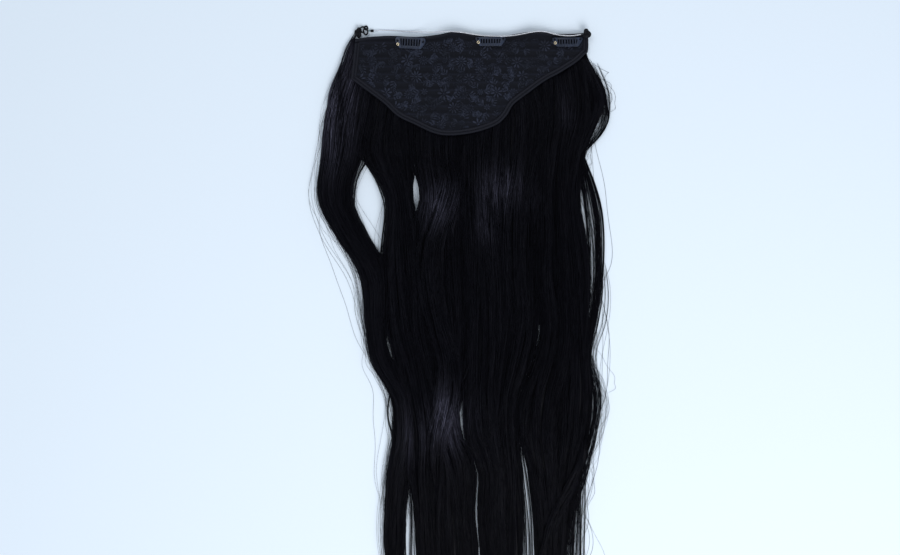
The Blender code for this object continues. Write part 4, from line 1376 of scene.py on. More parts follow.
def eased_start(rng, count, stations, reach):
    """Factors that let strands start one after another, each from a fine point."""
    share = np.linspace(0.0, 1.0, stations)
    begins = rng.uniform(0.0, reach, (count, 1))
    return np.clip((share[None] - begins) / 0.05, 0.04, 1.0)


def openness(down, stretches):
    """1 where a seam stays open, 0 where hair covers it, with eased ends."""
    found = np.zeros(np.shape(down))
    for start, end in stretches:
        rising = np.clip((down - start + SEAM_EASE / 2) / SEAM_EASE, 0.0, 1.0)
        falling = np.clip((end + SEAM_EASE / 2 - down) / SEAM_EASE, 0.0, 1.0)
        found = np.maximum(found, eased(np.minimum(rising, falling)))
    return found


def make_seams(base):
    """Strands that cover the seams between neighbouring locks and part where the seams are open."""
    rng = np.random.default_rng(7)
    made = Strands()
    for left_name, right_name, count, stretches in SEAMS:
        left = Lock(LOCKS[left_name], EDGE_STATIONS, 0)
        right = Lock(LOCKS[right_name], EDGE_STATIONS, 0)
        high = min(left.y[0], right.y[0])
        low = max(left.y[-1], right.y[-1])
        stations = max(16, round((high - low) / STATION))
        y = np.linspace(high, low, stations)
        share = np.linspace(0.0, 1.0, stations)
        left_edge = left.at(y, left.x + left.half)
        right_edge = right.at(y, right.x - right.half)
        rise = np.minimum(left.at(y, left.rise), right.at(y, right.rise))
        reach = 0.25 * np.minimum(left.at(y, left.half), right.at(y, right.half)) + 0.0015
        is_open = openness((ORIGIN_BELOW_EDGE - y) / sizes().hair_length, stretches)
        side = rng.choice([-1.0, 1.0], count)[:, None]
        offset = rng.uniform(-1.0, 1.0, count)[:, None]
        middle = (left_edge + right_edge) / 2 + offset * reach
        away = np.abs(offset) * reach
        hug = np.where(side < 0, left_edge - away, right_edge + away)
        phase = rng.uniform(0.0, math.tau, (count, 2))
        waves = rng.uniform(3.0, 9.0, (count, 1))
        x = middle + (hug - middle) * is_open + 0.0005 * wave(waves, share, phase[:, :1])
        height = rng.uniform(0.25, 0.92, count)[:, None] + 0.05 * wave(waves, share, phase[:, 1:])
        z = np.maximum(rise, 0.002) * height
        ends = rng.uniform(0.80, 1.0, count)[:, None]
        fade = np.clip((ends - share) / 0.08, 0.0, 1.0)
        radii = sizes().strand / 2 * rng.uniform(0.5, 1.0, (count, 1)) * (0.15 + 0.85 * np.sqrt(fade))
        made.lay(base, x, y, z, radii, rng)
    made.finish("seam_strands")


def make_veils(base):
    """Thin, see-through hair outside the locks, gathered in clumps."""
    rng = np.random.default_rng(11)
    made = Strands()
    for name, rows in VEILS.items():
        count = VEIL_STRANDS[name]
        stations = station_count(rows, VEIL_STATION)
        lock = Lock(rows, stations, 0)
        share = np.linspace(0.0, 1.0, stations)
        clumps = max(3, count // VEIL_CLUMP)
        clump = rng.integers(0, clumps, count)
        middle = np.linspace(-0.85, 0.85, clumps) + rng.uniform(-0.15, 0.15, clumps)
        drift = rng.uniform(-VEIL_DRIFT, VEIL_DRIFT, clumps)
        phase = rng.uniform(0.0, math.tau, (clumps, 1))
        side = middle[clump][:, None] + rng.normal(0.0, 0.10, (count, 1))
        side = side + (drift[clump][:, None] + rng.normal(0.0, 0.06, (count, 1))) * (share - 0.4)
        side = side + 0.10 * wave(1.3, share, phase[clump])
        x = lock.x + lock.half * side
        z = lock.floor + lock.rise * rng.uniform(0.1, 0.9, (count, 1))
        radii = sizes().loose_hair / 2 * rng.uniform(*VEIL_WIDTHS, (count, 1)) * np.ones(stations)
        radii = radii * eased_start(rng, count, stations, 0.12)
        radii[:, -3:] *= np.array([0.8, 0.5, 0.25])
        made.lay(base, x, lock.y, z, radii, rng)
    made.finish("veil_strands")


def make_loose_hairs(base):
    """Single hairs that stray outside the mass."""
    rng = np.random.default_rng(23)
    made = Strands()
    low, high = CAD_BOX
    highest = high.y - LOOSE_TOP
    share = np.linspace(0.0, 1.0, LOOSE_STATIONS)
    for name, sign, count, spread_out in LOOSE_HAIRS:
        lock = Lock(LOCKS[name], EDGE_STATIONS, 0)
        room = high.x + LOOSE_ROOM if sign > 0 else -low.x + LOOSE_ROOM
        first = rng.uniform(*LOOSE_STARTS, count)
        length = rng.uniform(*LOOSE_LENGTHS, count)
        place = np.clip(first[:, None] + length[:, None] * share, 0.0, 1.0) * (len(lock.x) - 1)
        stand = np.arange(len(lock.x))
        edge = np.interp(place, stand, lock.x + sign * lock.half * 0.85)
        y = np.interp(place, stand, lock.y)
        y += 0.004 * np.sin(math.tau * (share + rng.uniform(0.0, 1.0, (count, 1))))
        y = highest - np.abs(highest - y)
        away = rng.exponential(spread_out, (count, 1))
        away = away * np.sin(math.pi * share ** rng.uniform(0.7, 1.4, (count, 1)))
        sway = 0.0012 * wave(rng.uniform(1.0, 3.5, (count, 1)), share, rng.uniform(0, 6, (count, 1)))
        free = np.maximum(room - sign * edge, 0.002)
        x = edge + sign * free * np.tanh(away / free) + sway
        y = np.maximum(y, low.y - LOOSE_PAST_END)
        z = np.interp(place, stand, lock.rise) * 0.5 * (1.0 - np.clip(away / 0.02, 0.0, 0.9))
        radii = sizes().loose_hair / 2 * rng.uniform(*FINE_WIDTHS, (count, 1)) * np.ones(LOOSE_STATIONS)
        radii[:, -4:] *= np.array([0.9, 0.7, 0.5, 0.3])
        made.lay(base, x, y, z, radii, rng)
    made.finish("loose_hairs")


def make_backing(base):
    """Flat hair under the lace."""
    u, v = np.meshgrid(np.linspace(0, 1, 100), np.linspace(0, 1, 40), indexing="ij")
    x, y = base.panel_places(u, v, 0.0006, 0.0006)
    low = base.lift(x, y) + 0.0002
    return closed_sheet("hair_under_lace", x, y, low, base.backing_top(x, y) - 0.0001)


def closed_sheet(name, x, y, low, high):
    """A closed sheet over a grid of places, between two heights."""
    item = add_mesh(name, *sheet_parts(x, y, low, high, 1))
    face_outwards(item)
    return item


def shaped_bead(segments, rings, taper):
    """A flattened bead along X, one unit long each way, drawn in at one end: its points and faces."""
    deselect()
    bpy.ops.mesh.primitive_uv_sphere_add(segments=segments, ring_count=rings, radius=1.0)
    bead = bpy.context.object
    bpy.ops.object.mode_set(mode="EDIT")
    bpy.ops.mesh.select_all(action="SELECT")
    bpy.ops.transform.rotate(value=math.pi / 2, orient_axis="Y", center_override=(0.0, 0.0, 0.0))
    bpy.ops.mesh.select_all(action="DESELECT")
    bpy.ops.object.mode_set(mode="OBJECT")
    for corner in bead.data.vertices:
        corner.select = corner.co.z < -0.05
    bpy.ops.object.mode_set(mode="EDIT")
    bpy.ops.transform.resize(value=(1.0, 1.0, 0.3), center_override=(0.0, 0.0, 0.0))
    bpy.ops.object.mode_set(mode="OBJECT")
    points = np.array([corner.co for corner in bead.data.vertices])
    faces = [list(face.vertices) for face in bead.data.polygons]
    bpy.data.objects.remove(bead, do_unlink=True)
    points[:, 1] *= 1.0 - taper * np.clip(-points[:, 0], 0.0, 1.0)
    return points, faces


class Motifs(Gathered):
    """Raised embroidery: beads and cords laid on the lace, in one mesh."""

    def __init__(self, base):
        super().__init__()
        self.base = base
        self.petal = shaped_bead(8, 5, 0.55)
        self.dot = shaped_bead(8, 4, 0.0)

    def inside(self, x, y, margin):
        level = y < self.base.band(x) - HEM_WIDTH - margin
        return bool(level and self.base.beyond(np.array([x]), np.array([y]))[0] < -BINDING_WIDTH - margin)

    def bead(self, shape, x, y, angle, half_length, half_width, height):
        if not self.inside(x, y, half_length * 0.9):
            return
        points, faces = shape
        along, across = points[:, 0] * half_length, points[:, 1] * half_width
        px, py = placed(x, y, angle, along, across)
        pz = lace_top(self.base, px, py) + points[:, 2] * height
        self.add(np.column_stack([px, py, pz]), faces, np.column_stack([along, across]))

    def stem(self, x, y, thickness):
        """A corded line through places in plan. It stops where it would leave the lace."""
        plan = np.array([place for place in zip(x, y) if self.inside(*place, thickness)])
        if len(plan) < 4:
            return
        height = lace_top(self.base, plan[:, 0], plan[:, 1]) + thickness * 0.3
        radii = np.full((1, len(plan)), thickness / 2)
        radii[:, [0, -1]] *= 0.5
        points, faces = tube_parts(np.column_stack([plan, height])[None], radii, EMBROIDERY_SIDES)
        along = np.repeat(run_lengths(plan), EMBROIDERY_SIDES)
        around = np.tile(np.arange(EMBROIDERY_SIDES) * thickness / 2, len(plan))
        self.add(points, faces, np.column_stack([along, around]))

    def daisy(self, x, y, radius, petals, turn):
        """Petals round a dot with a corded ring."""
        reach = radius * 0.64
        half_width = min(radius * 0.20, math.pi * reach / petals * 0.62)
        for number in range(petals):
            angle = turn + math.tau * number / petals
            cx, cy = placed(x, y, angle, reach)
            self.bead(self.petal, cx, cy, angle, radius * 0.36, half_width, PETAL_HEIGHT)
        self.bead(self.dot, x, y, turn, radius * 0.13, radius * 0.13, DOT_HEIGHT)
        self.ring(x, y, radius * 0.24, radius * 0.24, turn)

    def rosette(self, x, y, radius, turn):
        """A blossom of corded rings with a rim of dots."""
        for share in (0.30, 0.58, 0.82):
            self.ring(x, y, radius * share, radius * share * 0.92, turn)
        for angle in turn + math.tau * np.arange(11) / 11:
            cx, cy = placed(x, y, angle, radius)
            self.bead(self.dot, cx, cy, angle, radius * 0.17, radius * 0.14, 0.8 * DOT_HEIGHT)
        self.bead(self.dot, x, y, turn, radius * 0.16, radius * 0.16, DOT_HEIGHT)

    def ring(self, x, y, half_length, half_width, turn):
        around = np.linspace(0.0, math.tau * 0.98, 18)
        plan = placed(x, y, turn, half_length * np.cos(around), half_width * np.sin(around))
        self.stem(*plan, OUTLINE_CORD)

    def feather(self, x, y, angle, half_length, half_width):
        """An outlined petal filled with hatching."""
        self.ring(x, y, half_length, half_width, angle)
        lines = 7
        share = np.linspace(-1.0, 1.0, 6)
        for number in range(lines):
            along = (2.0 * (number + 0.5) / lines - 1.0) * half_length * 0.88
            reach = half_width * math.sqrt(max(1.0 - (along / half_length) ** 2, 0.0)) * 0.92
            plan = placed(x, y, angle, along + 0.25 * reach * share, reach * share)
            self.stem(*plan, HATCH_CORD)

    def leaf(self, x, y, angle, half_length):
        """A pointed bead with a vein."""
        self.bead(self.petal, x, y, angle, half_length, half_length * 0.36, 0.8 * PETAL_HEIGHT)
        self.stem(*placed(x, y, angle, half_length * np.linspace(-1.25, 0.85, 8)), OUTLINE_CORD)

    def spray(self, x, y, angle, length, leaves, bend):
        """A bending stem with leaves on both sides and a curl at its tip."""
        steps = 26
        share = np.arange(steps) / steps
        headings = angle + np.cumsum(bend * (0.04 + 0.34 * np.maximum(share - 0.62, 0.0) * 2.6))
        places_x = x + np.cumsum(np.cos(headings) * length / steps)
        places_y = y + np.cumsum(np.sin(headings) * length / steps)
        self.stem(places_x, places_y, STEM_CORD)
        for number in range(leaves):
            place = 2 + number * 15 // leaves
            tilt = headings[place] + (0.85 if number % 2 else -0.85)
            size = 0.0023 - 0.0009 * number / leaves
            self.leaf(*placed(places_x[place], places_y[place], tilt, size * 1.25), tilt, size)


def lace_low(base, x, y):
    """Underside of the lace, which dips between the wefts below it."""
    rib = 0.5 + 0.5 * np.cos(math.tau * (FIRST_TRACK_Y - y) / TRACK_SPACING)
    height = base.backing_top(x, y) + TRACK_THICKNESS + GAP + LACE_THICKNESS
    return height - LACE_DIP * (1.0 - rib**0.7)


def lace_top(base, x, y):
    return lace_low(base, x, y) + LACE_THICKNESS


def lace_material():
    """Fine net over dark wefts."""
    material, tree, shader = new_material("lace_net", 0.78, 0.15, shown=(0.02, 0.02, 0.03))
    cells = add_node(
        tree,
        "TexVoronoi",
        {"Vector": object_places(tree, (1.0, 1.0, 0.0)), "Scale": 760.0, "Randomness": 0.25},
        feature="DISTANCE_TO_EDGE",
    )
    thread = spread(tree, cells.outputs["Distance"], 0.05, 0.30, 1.0, 0.0)
    level = worked(tree, "MULTIPLY", thread, streaks(tree, (1.0, 1.0, 1.0), 500.0)["Height"])
    down = add_node(tree, "SeparateXYZ", {"Vector": object_places(tree)}).outputs["Y"]
    turns = math.tau / TRACK_SPACING
    ribs = worked(tree, "COSINE", worked(tree, "MULTIPLY_ADD", down, turns, -turns * FIRST_TRACK_Y))
    ribbed = worked(tree, "MULTIPLY", level, spread(tree, ribs, 0.55, 1.0, 0.55, 1.35))
    tint(tree, shader, ribbed, scaled(colours().net, 0.35), scaled(colours().net, 2.6))
    bump(tree, shader, thread, 0.0003, 0.8)
    return material


def stitch_material(name, thread, pitch, roughness=0.65, uneven=0.0):
    """Satin stitch or cord: fine threads laid across the piece's length."""
    material, tree, shader = new_material(name, roughness, 0.18, shown=thread)
    places = add_node(tree, "UVMap", uv_map="cloth").outputs["UV"]
    inputs = {"Vector": places, "Pitch": pitch, "Slant": 0.35}
    lay = add_node(tree, "Group", inputs, node_tree=thread_group()).outputs
    patch = noise(tree, object_places(tree), 70.0, 1.0)
    level = spread(tree, patch, 0.38, 0.62, 1.0 - uneven, 1.0 + uneven * 0.7)
    tone = worked(tree, "MULTIPLY", lay["Tone"], level)
    # Colour follows the threads' height: random tone, and painted shade in the grooves between threads
    tint(tree, shader, tone, scaled(thread, 0.35), scaled(thread, 1.5))
    bump(tree, shader, lay["Height"], 0.00018, 0.8)
    return material


def thread_group():
    """Threads side by side across the first axis, leaning by a slant, with uneven tone and painted shade in
    the grooves between them.
    """
    found = bpy.data.node_groups.get("Laid Threads")
    if found:
        return found
    group, given, made = new_group("Laid Threads", {"Pitch": 0.0004, "Slant": 0.35})
    parts = add_node(group, "SeparateXYZ", {"Vector": given["Vector"]}).outputs
    along = worked(group, "ADD", parts["X"], worked(group, "MULTIPLY", parts["Y"], given["Slant"]))
    turns = worked(group, "DIVIDE", along, given["Pitch"])
    height = spread(group, worked(group, "SINE", worked(group, "MULTIPLY", turns, math.tau)), -1.0, 1.0)
    tone = worked(group, "MULTIPLY", height, noise(group, given["Vector"], 700.0))
    group.links.new(worked(group, "MULTIPLY", tone, 1.6), made["Tone"])
    group.links.new(height, made["Height"])
    return group


def ribbon_material():
    """Ribbed ribbon with a soft, dusty sheen."""
    found = bpy.data.materials.get("ribbon_weave")
    return found or stitch_material("ribbon_weave", tuple(colours().ribbon), 0.00075, 0.7)


def make_lace(base):
    """The lace sheet and its embroidery."""
    u, v = np.meshgrid(np.linspace(0, 1, 200), np.linspace(0, 1, 110), indexing="ij")
    x, y = base.panel_places(u, v, BINDING_WIDTH - LACE_UNDER_BINDING, HEM_WIDTH - LACE_UNDER_HEM)
    sheet = closed_sheet("lace_sheet", x, y, lace_low(base, x, y), lace_top(base, x, y))
    paint(sheet, lace_material(), "lace")
    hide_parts("lace_panel")
    rng = np.random.default_rng(5)
    motifs = Motifs(base)
    for row in range(FLOWER_ROWS):
        for column in range(-FLOWER_COLUMNS, FLOWER_COLUMNS + 1):
            cx = (column + 0.5 * (row % 2)) * FLOWER_STEP + rng.uniform(-0.0025, 0.0025)
            cy = ORIGIN_BELOW_EDGE - 0.015 - row * FLOWER_ROW_STEP + rng.uniform(-0.0020, 0.0020)
            turn = rng.uniform(0.0, math.tau)
            bend = float(rng.choice([-1.0, 1.0]))
            kind = (column + 2 * row) % 3
            radius = rng.uniform(*FLOWER_RADII[kind])
            petals = int(rng.integers(7, 11))
            if kind == 2:
                motifs.rosette(cx, cy, radius, turn)
            else:
                motifs.daisy(cx, cy, radius, petals, turn)
            for number, length in enumerate(SPRAY_LENGTHS):
                side = turn + 1.0 + 2.1 * number
                motifs.spray(*placed(cx, cy, side, radius * 1.10), side, length, 6 - number, bend)
                bend = -bend
            side = turn + 5.2
            bud = 0.0036 if kind == 1 else 0.0052
            motifs.feather(*placed(cx, cy, side, radius + bud * 1.16), side, bud, bud * 0.54)
    work = motifs.mesh("lace_flowers")
    places = np.vstack(motifs.values)
    set_places(work, places[:, 0], places[:, 1])
    paint(work, stitch_material("lace_flowers", tuple(colours().lace), 0.00042, 0.65, 0.75), "lace")
    return sheet, work


def ribbon_mesh(name, base, path, inner, section, thickness, pucker):
    """A sewn ribbon between a path and its inset copy, on top of the hair below the lace."""
    steps = run_lengths(path)
    shares, ups = np.array(section).T
    plan = path[:, None, :] + (inner - path)[:, None, :] * shares[None, :, None]
    x, y = plan[..., 0], plan[..., 1]
    swell = 1.0 - pucker * (0.5 + 0.5 * np.cos(math.tau * steps / PUCKER_PITCH))[:, None]
    z = base.backing_top(x, y) + GAP + ups[None] * thickness * swell
    item = add_mesh(name, np.stack([x, y, z], axis=-1).reshape(-1, 3), ring_faces(*x.shape, False))
    face_outwards(item)
    bpy.ops.object.shade_smooth_by_angle(angle=math.radians(50))
    width = np.linalg.norm(inner - path, axis=1).mean()
    set_places(item, np.repeat(steps, len(shares)), np.tile(shares * width, len(steps)))
    return item


def resample(path, step):
    """The path with even steps."""
    lengths = run_lengths(path)
    return spaced(path, lengths, max(2, round(lengths[-1] / step)))


def make_thread(name, lines, radius, length, ends, thread):
    """Thread along lines of places, drawn in at its ends to a share of its radius."""
    count, stations = lines.shape[:2]
    radii = np.full((count, stations), radius)
    radii[:, [0, -1]] *= ends
    item = add_mesh(name, *tube_parts(lines, radii, THREAD_SIDES))
    along = np.tile(np.repeat(np.linspace(0.0, length, stations), THREAD_SIDES), count)
    set_places(item, along, np.tile(np.arange(THREAD_SIDES) * radius, count * stations))
    paint(item, thread, "weft_thread")
    return item


def make_stitches(name, rows, radius, pitch, slant, thread):
    """Rows of short stitches along paths in space, each sunk at both ends."""
    share = np.linspace(0.0, 1.0, 6)[:, None]
    rise = np.array([0.0, 0.0, radius]) * (1.6 * np.sin(math.pi * share) - 0.5)
    lines = []
    for path in rows:
        steps = run_lengths(path)
        for middle in np.arange(pitch, steps[-1] - pitch, pitch):
            start, end = (
                np.array([np.interp(middle + move, steps, column) for column in path.T])
                for move in (-0.36 * pitch, 0.36 * pitch)
            )
            ahead = end - start
            side = np.array([-ahead[1], ahead[0], 0.0]) * slant
            lines.append(start + ahead * share + side * (share - 0.5) + rise)
    return make_thread(name, np.array(lines), radius, pitch, 0.7, thread)


def seam_path(base, outer, inner, share, height):
    """A sewn line on a ribbon: a share of the way in, and a height above the hair below."""
    plan = outer + (inner - outer) * share
    return np.column_stack([plan, base.backing_top(plan[:, 0], plan[:, 1]) + GAP + height])


def make_ribbons(base):
    """Binding round the panel, hem along the band, and their stitches."""
    path = base.rim(HEM_WIDTH + GAP, 4)
    path = resample(np.vstack([path[:4], smooth_rows(path[4:], 4)]), RIBBON_STEP)
    inner = softened(base.inset(path, BINDING_WIDTH), 3)
    section = (BINDING_PROFILE, BINDING_THICKNESS, BINDING_PUCKER)
    binding = ribbon_mesh("ribbon_binding", base, path, inner, *section)
    paint(binding, ribbon_material(), "ribbon")
    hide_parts("binding")

    edge_x = np.linspace(base.band_x[0], base.band_x[-1], 190)
    edge = np.column_stack([edge_x, softened(base.band(edge_x), 4)])
    fold = edge - np.array([0.0, HEM_WIDTH])
    hem = ribbon_mesh("folded_hem", base, edge, fold, HEM_PROFILE, HEM_THICKNESS, HEM_PUCKER)
    paint(hem, ribbon_material(), "ribbon")
    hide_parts("top_hem")

    thread = stitch_material("sewing_thread", tuple(colours().thread), 0.0005)
    rows = [seam_path(base, path, inner, share, up * BINDING_THICKNESS) for share, up in BINDING_SEAMS]
    seams = make_stitches("binding_stitches", rows, *BINDING_STITCH, thread)
    share, up = HEM_SEAM
    rows = [seam_path(base, edge, fold, share, up * HEM_THICKNESS)]
    return binding, hem, seams, make_stitches("hem_stitches", rows, *HEM_STITCH, thread)


class HALO_OT_lace(bpy.types.Operator):
    """Adds the lace panel with its flowers, binding, hem and stitches"""

    bl_idname = "halo.lace"
    bl_label = "Lace panel"

    def execute(self, context):
        base = Base()
        sheet, flowers = make_lace(base)
        edges = make_ribbons(base)
        for name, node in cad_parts.items():
            if name.startswith("weft_track"):
                node.data.materials.clear()
                node.data.materials.append(weft_material())
        return {"FINISHED"}


def weft_material():
    """Sewn weft: fine streaks of hair held by thread."""
    found = bpy.data.materials.get("sewn_weft")
    if found:
        return found
    material, tree, shader = new_material("sewn_weft", 0.6, 0.3, shown=(0.01, 0.01, 0.02))
    fibres = streaks(tree, (1.0, 0.1, 1.0), 1500.0)
    tint(tree, shader, fibres["Tone"], scaled(colours().thread, 0.4), colours().thread)
    bump(tree, shader, fibres["Height"], 0.0002, 0.6)
    return material


def dressed(node, name, material, slot, body, rounding):
    """A copy of a frame node with its doubles merged and its sharp edges rounded."""
    width, segments = rounding
    item = add_object(name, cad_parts[node].data.copy())
    pick(item)
    bpy.ops.object.mode_set(mode="EDIT")
    bpy.ops.mesh.select_all(action="SELECT")
    bpy.ops.mesh.remove_doubles(threshold=MERGE_DISTANCE)
    bpy.ops.mesh.dissolve_limited(angle_limit=math.radians(1.0))
    bpy.ops.mesh.select_all(action="DESELECT")
    bpy.ops.mesh.edges_select_sharp(sharpness=math.radians(SHARP_EDGE))
    bpy.ops.mesh.bevel(offset=width, segments=segments, affect="EDGES")
    bpy.ops.mesh.select_all(action="SELECT")
    bpy.ops.mesh.quads_convert_to_tris()
    bpy.ops.object.mode_set(mode="OBJECT")
    bpy.ops.object.shade_smooth_by_angle(angle=math.radians(40))
    paint(item, material, slot, body)
    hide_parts(node)
    return item


def paint_material(name, share):
    """Slate paint on pressed steel, with fine orange peel, in a share of its colour; the combs' darker share
    is painted shade.
    """
    material, tree, shader = new_material(name, 0.42, 0.3, shown=(0.04, 0.06, 0.1))
    shader.inputs["Coat Weight"].default_value = 0.12
    shader.inputs["Coat Roughness"].default_value = 0.25
    patch = noise(tree, object_places(tree), 260.0, 3.0)
    shade = scaled(colours().paint, share)
    tint(tree, shader, spread(tree, patch, 0.35, 0.65), scaled(shade, 0.7), scaled(shade, 1.3))
    roughen(tree, shader, patch, 0.30, 0.50)
    bump(tree, shader, noise(tree, object_places(tree), 1500.0, 3.0), 0.00005, 0.4)
    return material


def brass_material():
    """Turned brass with fine scratches."""
    material, tree, shader = new_material("eyelet_brass", 0.2, 0.5, 1.0, shown=(0.7, 0.6, 0.4))
    scratch = noise(tree, object_places(tree), 2200.0, 3.0)
    tint(tree, shader, scratch, scaled(colours().brass, 0.8), colours().brass)
    roughen(tree, shader, scratch, 0.14, 0.30)
    bump(tree, shader, scratch, 0.00003, 0.3)
    return material


def make_eyelet(name, metal):
    """A rolled brass eyelet with a lip and a sunk throat."""
    low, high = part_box(f"clip_{name}_rivet")
    middle = (low + high) / 2
    radius = (high.x - low.x) / 2
    deselect()
    bpy.ops.mesh.primitive_torus_add(
        major_segments=36,
        minor_segments=12,
        major_radius=radius * EYELET_RING,
        minor_radius=radius * EYELET_LIP,
        location=(middle.x, middle.y, low.z + radius * EYELET_SEAT),
    )
    eyelet = bpy.context.object
    bpy.ops.object.mode_set(mode="EDIT")
    bpy.ops.mesh.select_all(action="SELECT")
    flat = (1.0, 1.0, EYELET_FLATNESS)
    bpy.ops.transform.resize(value=flat, center_override=(middle.x, middle.y, low.z))
    bpy.ops.object.mode_set(mode="OBJECT")
    bpy.ops.object.transform_apply(location=True, rotation=True, scale=True)
    for corner in eyelet.data.vertices:
        corner.co.z = max(corner.co.z, low.z)
    eyelet.name = f"eyelet_{name}"
    eyelet.data.shade_smooth()
    paint(eyelet, metal, "brass")
    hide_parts(f"clip_{name}_rivet")
    return eyelet


def make_sewing(name, across, down, degrees, thread):
    """Loops of thread through the ear holes, over the edge of each ear and down into the lace."""
    low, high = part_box(f"clip_{name}_frame")
    x, y = across * sizes().base_width, ORIGIN_BELOW_EDGE - down
    share = np.linspace(0.0, 1.0, 12)
    arch = np.sin(math.pi * np.minimum(share * 1.15, 1.0)) ** 0.6
    z = low.z - SEWING_DEPTH + (high.z - low.z + SEWING_ARCH) * arch
    z = z - 5.0 * SEWING_DEPTH * np.maximum(share - 0.8, 0.0)
    lines = []
    for side in (-1, 1):
        for lean in SEWING_FAN:
            reach = SEWING_REACH * share
            along = side * (CLIP_HOLE_SPACING / 2 + reach * math.cos(lean))
            plan = placed(x, y, math.radians(degrees), along, reach * math.sin(lean))
            lines.append(np.column_stack([*plan, z]))
    return make_thread(f"clip_sewing_{name}", np.array(lines), SEWING_RADIUS, 0.005, 1.0, thread)


class HALO_OT_clips(bpy.types.Operator):
    """Adds the comb clips with their eyelets and sewing"""

    bl_idname = "halo.clips"
    bl_label = "Comb clips"

    def execute(self, context):
        frame_coat = paint_material("slate_paint", 1.0)
        # The combs get a darker copy of the frame's paint: painted shade
        comb_coat = paint_material("slate_paint_painted_shade", COMB_PAINTED_SHADE)
        metal = brass_material()
        thread = bpy.data.materials["sewing_thread"]
        for name, across, down, degrees in CLIPS:
            pieces = (
                ("frame", frame_coat, "root", FRAME_ROUNDING),
                ("comb", comb_coat, f"{name}_comb", COMB_ROUNDING),
            )
            for kind, coat, body, rounding in pieces:
                dressed(f"clip_{name}_{kind}", f"{kind}_{name}", coat, "clip_paint", body, rounding)
            make_eyelet(name, metal)
            make_sewing(name, across, down, degrees, thread)
        return {"FINISHED"}


def elastic_material():
    """Braided elastic: slanting threads and a soft sheen."""
    found = bpy.data.materials.get("braided_elastic")
    return found or stitch_material("braided_elastic", tuple(colours().elastic), 0.00055, 0.72)


def braided_cord(name, line, radius, closed, replaced):
    """A cord along a line, with raised threads that wind round it."""
    if closed:
        ahead = np.roll(line, -1, axis=0) - np.roll(line, 1, axis=0)
    else:
        ahead = np.gradient(line, axis=0)
    ahead /= np.linalg.norm(ahead, axis=1)[:, None]
    steps = run_lengths(line)
    side = np.cross(ahead, np.array([0.05, 0.08, 1.0]))
    side /= np.linalg.norm(side, axis=1)[:, None]
    up = np.cross(side, ahead)
    angle = math.tau * np.arange(CORD_SIDES) / CORD_SIDES
    wound = math.tau * steps[:, None] / (radius * BRAID_PITCH)
    threads = [np.abs(np.cos(3.0 * angle[None] + way * wound)) for way in (1.0, -1.0)]
    braid = 1.0 - BRAID_DEPTH + BRAID_DEPTH * np.maximum(*threads)
    around = np.cos(angle)[:, None] * side[:, None] + np.sin(angle)[:, None] * up[:, None]
    points = (line[:, None] + radius * braid[:, :, None] * around).reshape(-1, 3)
    item = add_mesh(name, points, ring_faces(len(line), CORD_SIDES, closed))
    face_outwards(item)
    places = np.arange(CORD_SIDES) * radius * 0.39
    set_places(item, np.repeat(steps, CORD_SIDES), np.tile(places, len(line)))
    paint(item, elastic_material(), "elastic")
    if replaced:
        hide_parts(replaced)


def knot_line(low, high, degrees, radius, count):
    """A closed trefoil knot that fills a box, turned in plan."""
    t = np.linspace(0.0, math.tau, count, endpoint=False)
    along = np.sin(t) + 2.0 * np.sin(2.0 * t)
    across = np.cos(t) - 2.0 * np.cos(2.0 * t)
    x, y = placed(0.0, 0.0, math.radians(degrees), along, across)
    places = np.column_stack([x, y, -np.sin(3.0 * t)])
    room = np.array(high - low) / 2 - radius
    return np.array((low + high) / 2) + places / np.abs(places).max(axis=0) * room


class HALO_OT_elastic(bpy.types.Operator):
    """Adds the elastic loops and knots at the ends of the band"""

    bl_idname = "halo.elastic"
    bl_label = "Elastic"

    def execute(self, context):
        around = np.linspace(0.0, math.tau, 72, endpoint=False)
        radius = ELASTIC_DIAMETER / 2
        for name, half_length, half_width, degrees in ELASTIC_LOOPS:
            low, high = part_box(name)
            middle = (low + high) / 2
            along = np.cos(around) * (half_length - radius)
            across = np.sin(around) * (half_width - radius)
            x, y = placed(middle.x, middle.y, math.radians(degrees), along, across)
            line = np.column_stack([x, y, middle.z + 0.0004 * np.sin(2.0 * around)])
            braided_cord(f"braided_{name}", line, radius * 0.92, True, name)
        low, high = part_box("left_knot")
        knot = (low + high) / 2
        knot_end = high.x - 0.0028
        share = np.linspace(0.0, 1.0, 22)[:, None]
        sag = np.sin(math.pi * share) * np.array([0.0, 0.0009, 0.0006])
        for number, (name, start_y, end_y) in enumerate(JOINING_CORDS):
            low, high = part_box(name)
            middle = (low + high) / 2
            start = np.array([knot_end, knot.y + start_y, knot.z])
            end = np.array([low.x + 0.0008, middle.y + end_y, middle.z])
            line = start + (end - start) * share + sag
            braided_cord(f"joining_cord_{number + 1}", line, JOINING_RADIUS, False, None)
        for name, degrees in KNOTS:
            low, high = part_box(name)
            line = knot_line(low, high, degrees, KNOT_CORD / 2, 150)
            braided_cord(f"tied_{name}", line, KNOT_CORD / 2, True, name)
        return {"FINISHED"}


def make_wire_ends():
    """The pressed crimp and the clear sleeve at the wire's left end."""
    shade = tuple(colours().elastic)
    crimp = stitch_material("crimp_black", shade, 0.0006, 0.35)
    made = []
    for node, name, material, slot in (
        ("crimp_bead", "pressed_crimp", crimp, "crimp"),
        ("wire_collar", "clear_sleeve", sleeve_material(), "collar"),
    ):
        piece = dressed(node, name, material, slot, "root", WIRE_END_ROUNDING)
        low, _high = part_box(node)
        places = np.array([corner.co for corner in piece.data.vertices])
        set_places(piece, places[:, 0] - low.x, places[:, 1] - low.y)
        made.append(piece)
    return made


def sleeve_material():
    """Clear teal sleeve."""
    material, tree, shader = new_material("teal_sleeve", 0.25, 0.5, shown=(0.2, 0.36, 0.4))
    shader.inputs["Transmission Weight"].default_value = 0.4
    tint(tree, shader, noise(tree, object_places(tree), 900.0), SLEEVE_DARK, SLEEVE_LIGHT)
    return material


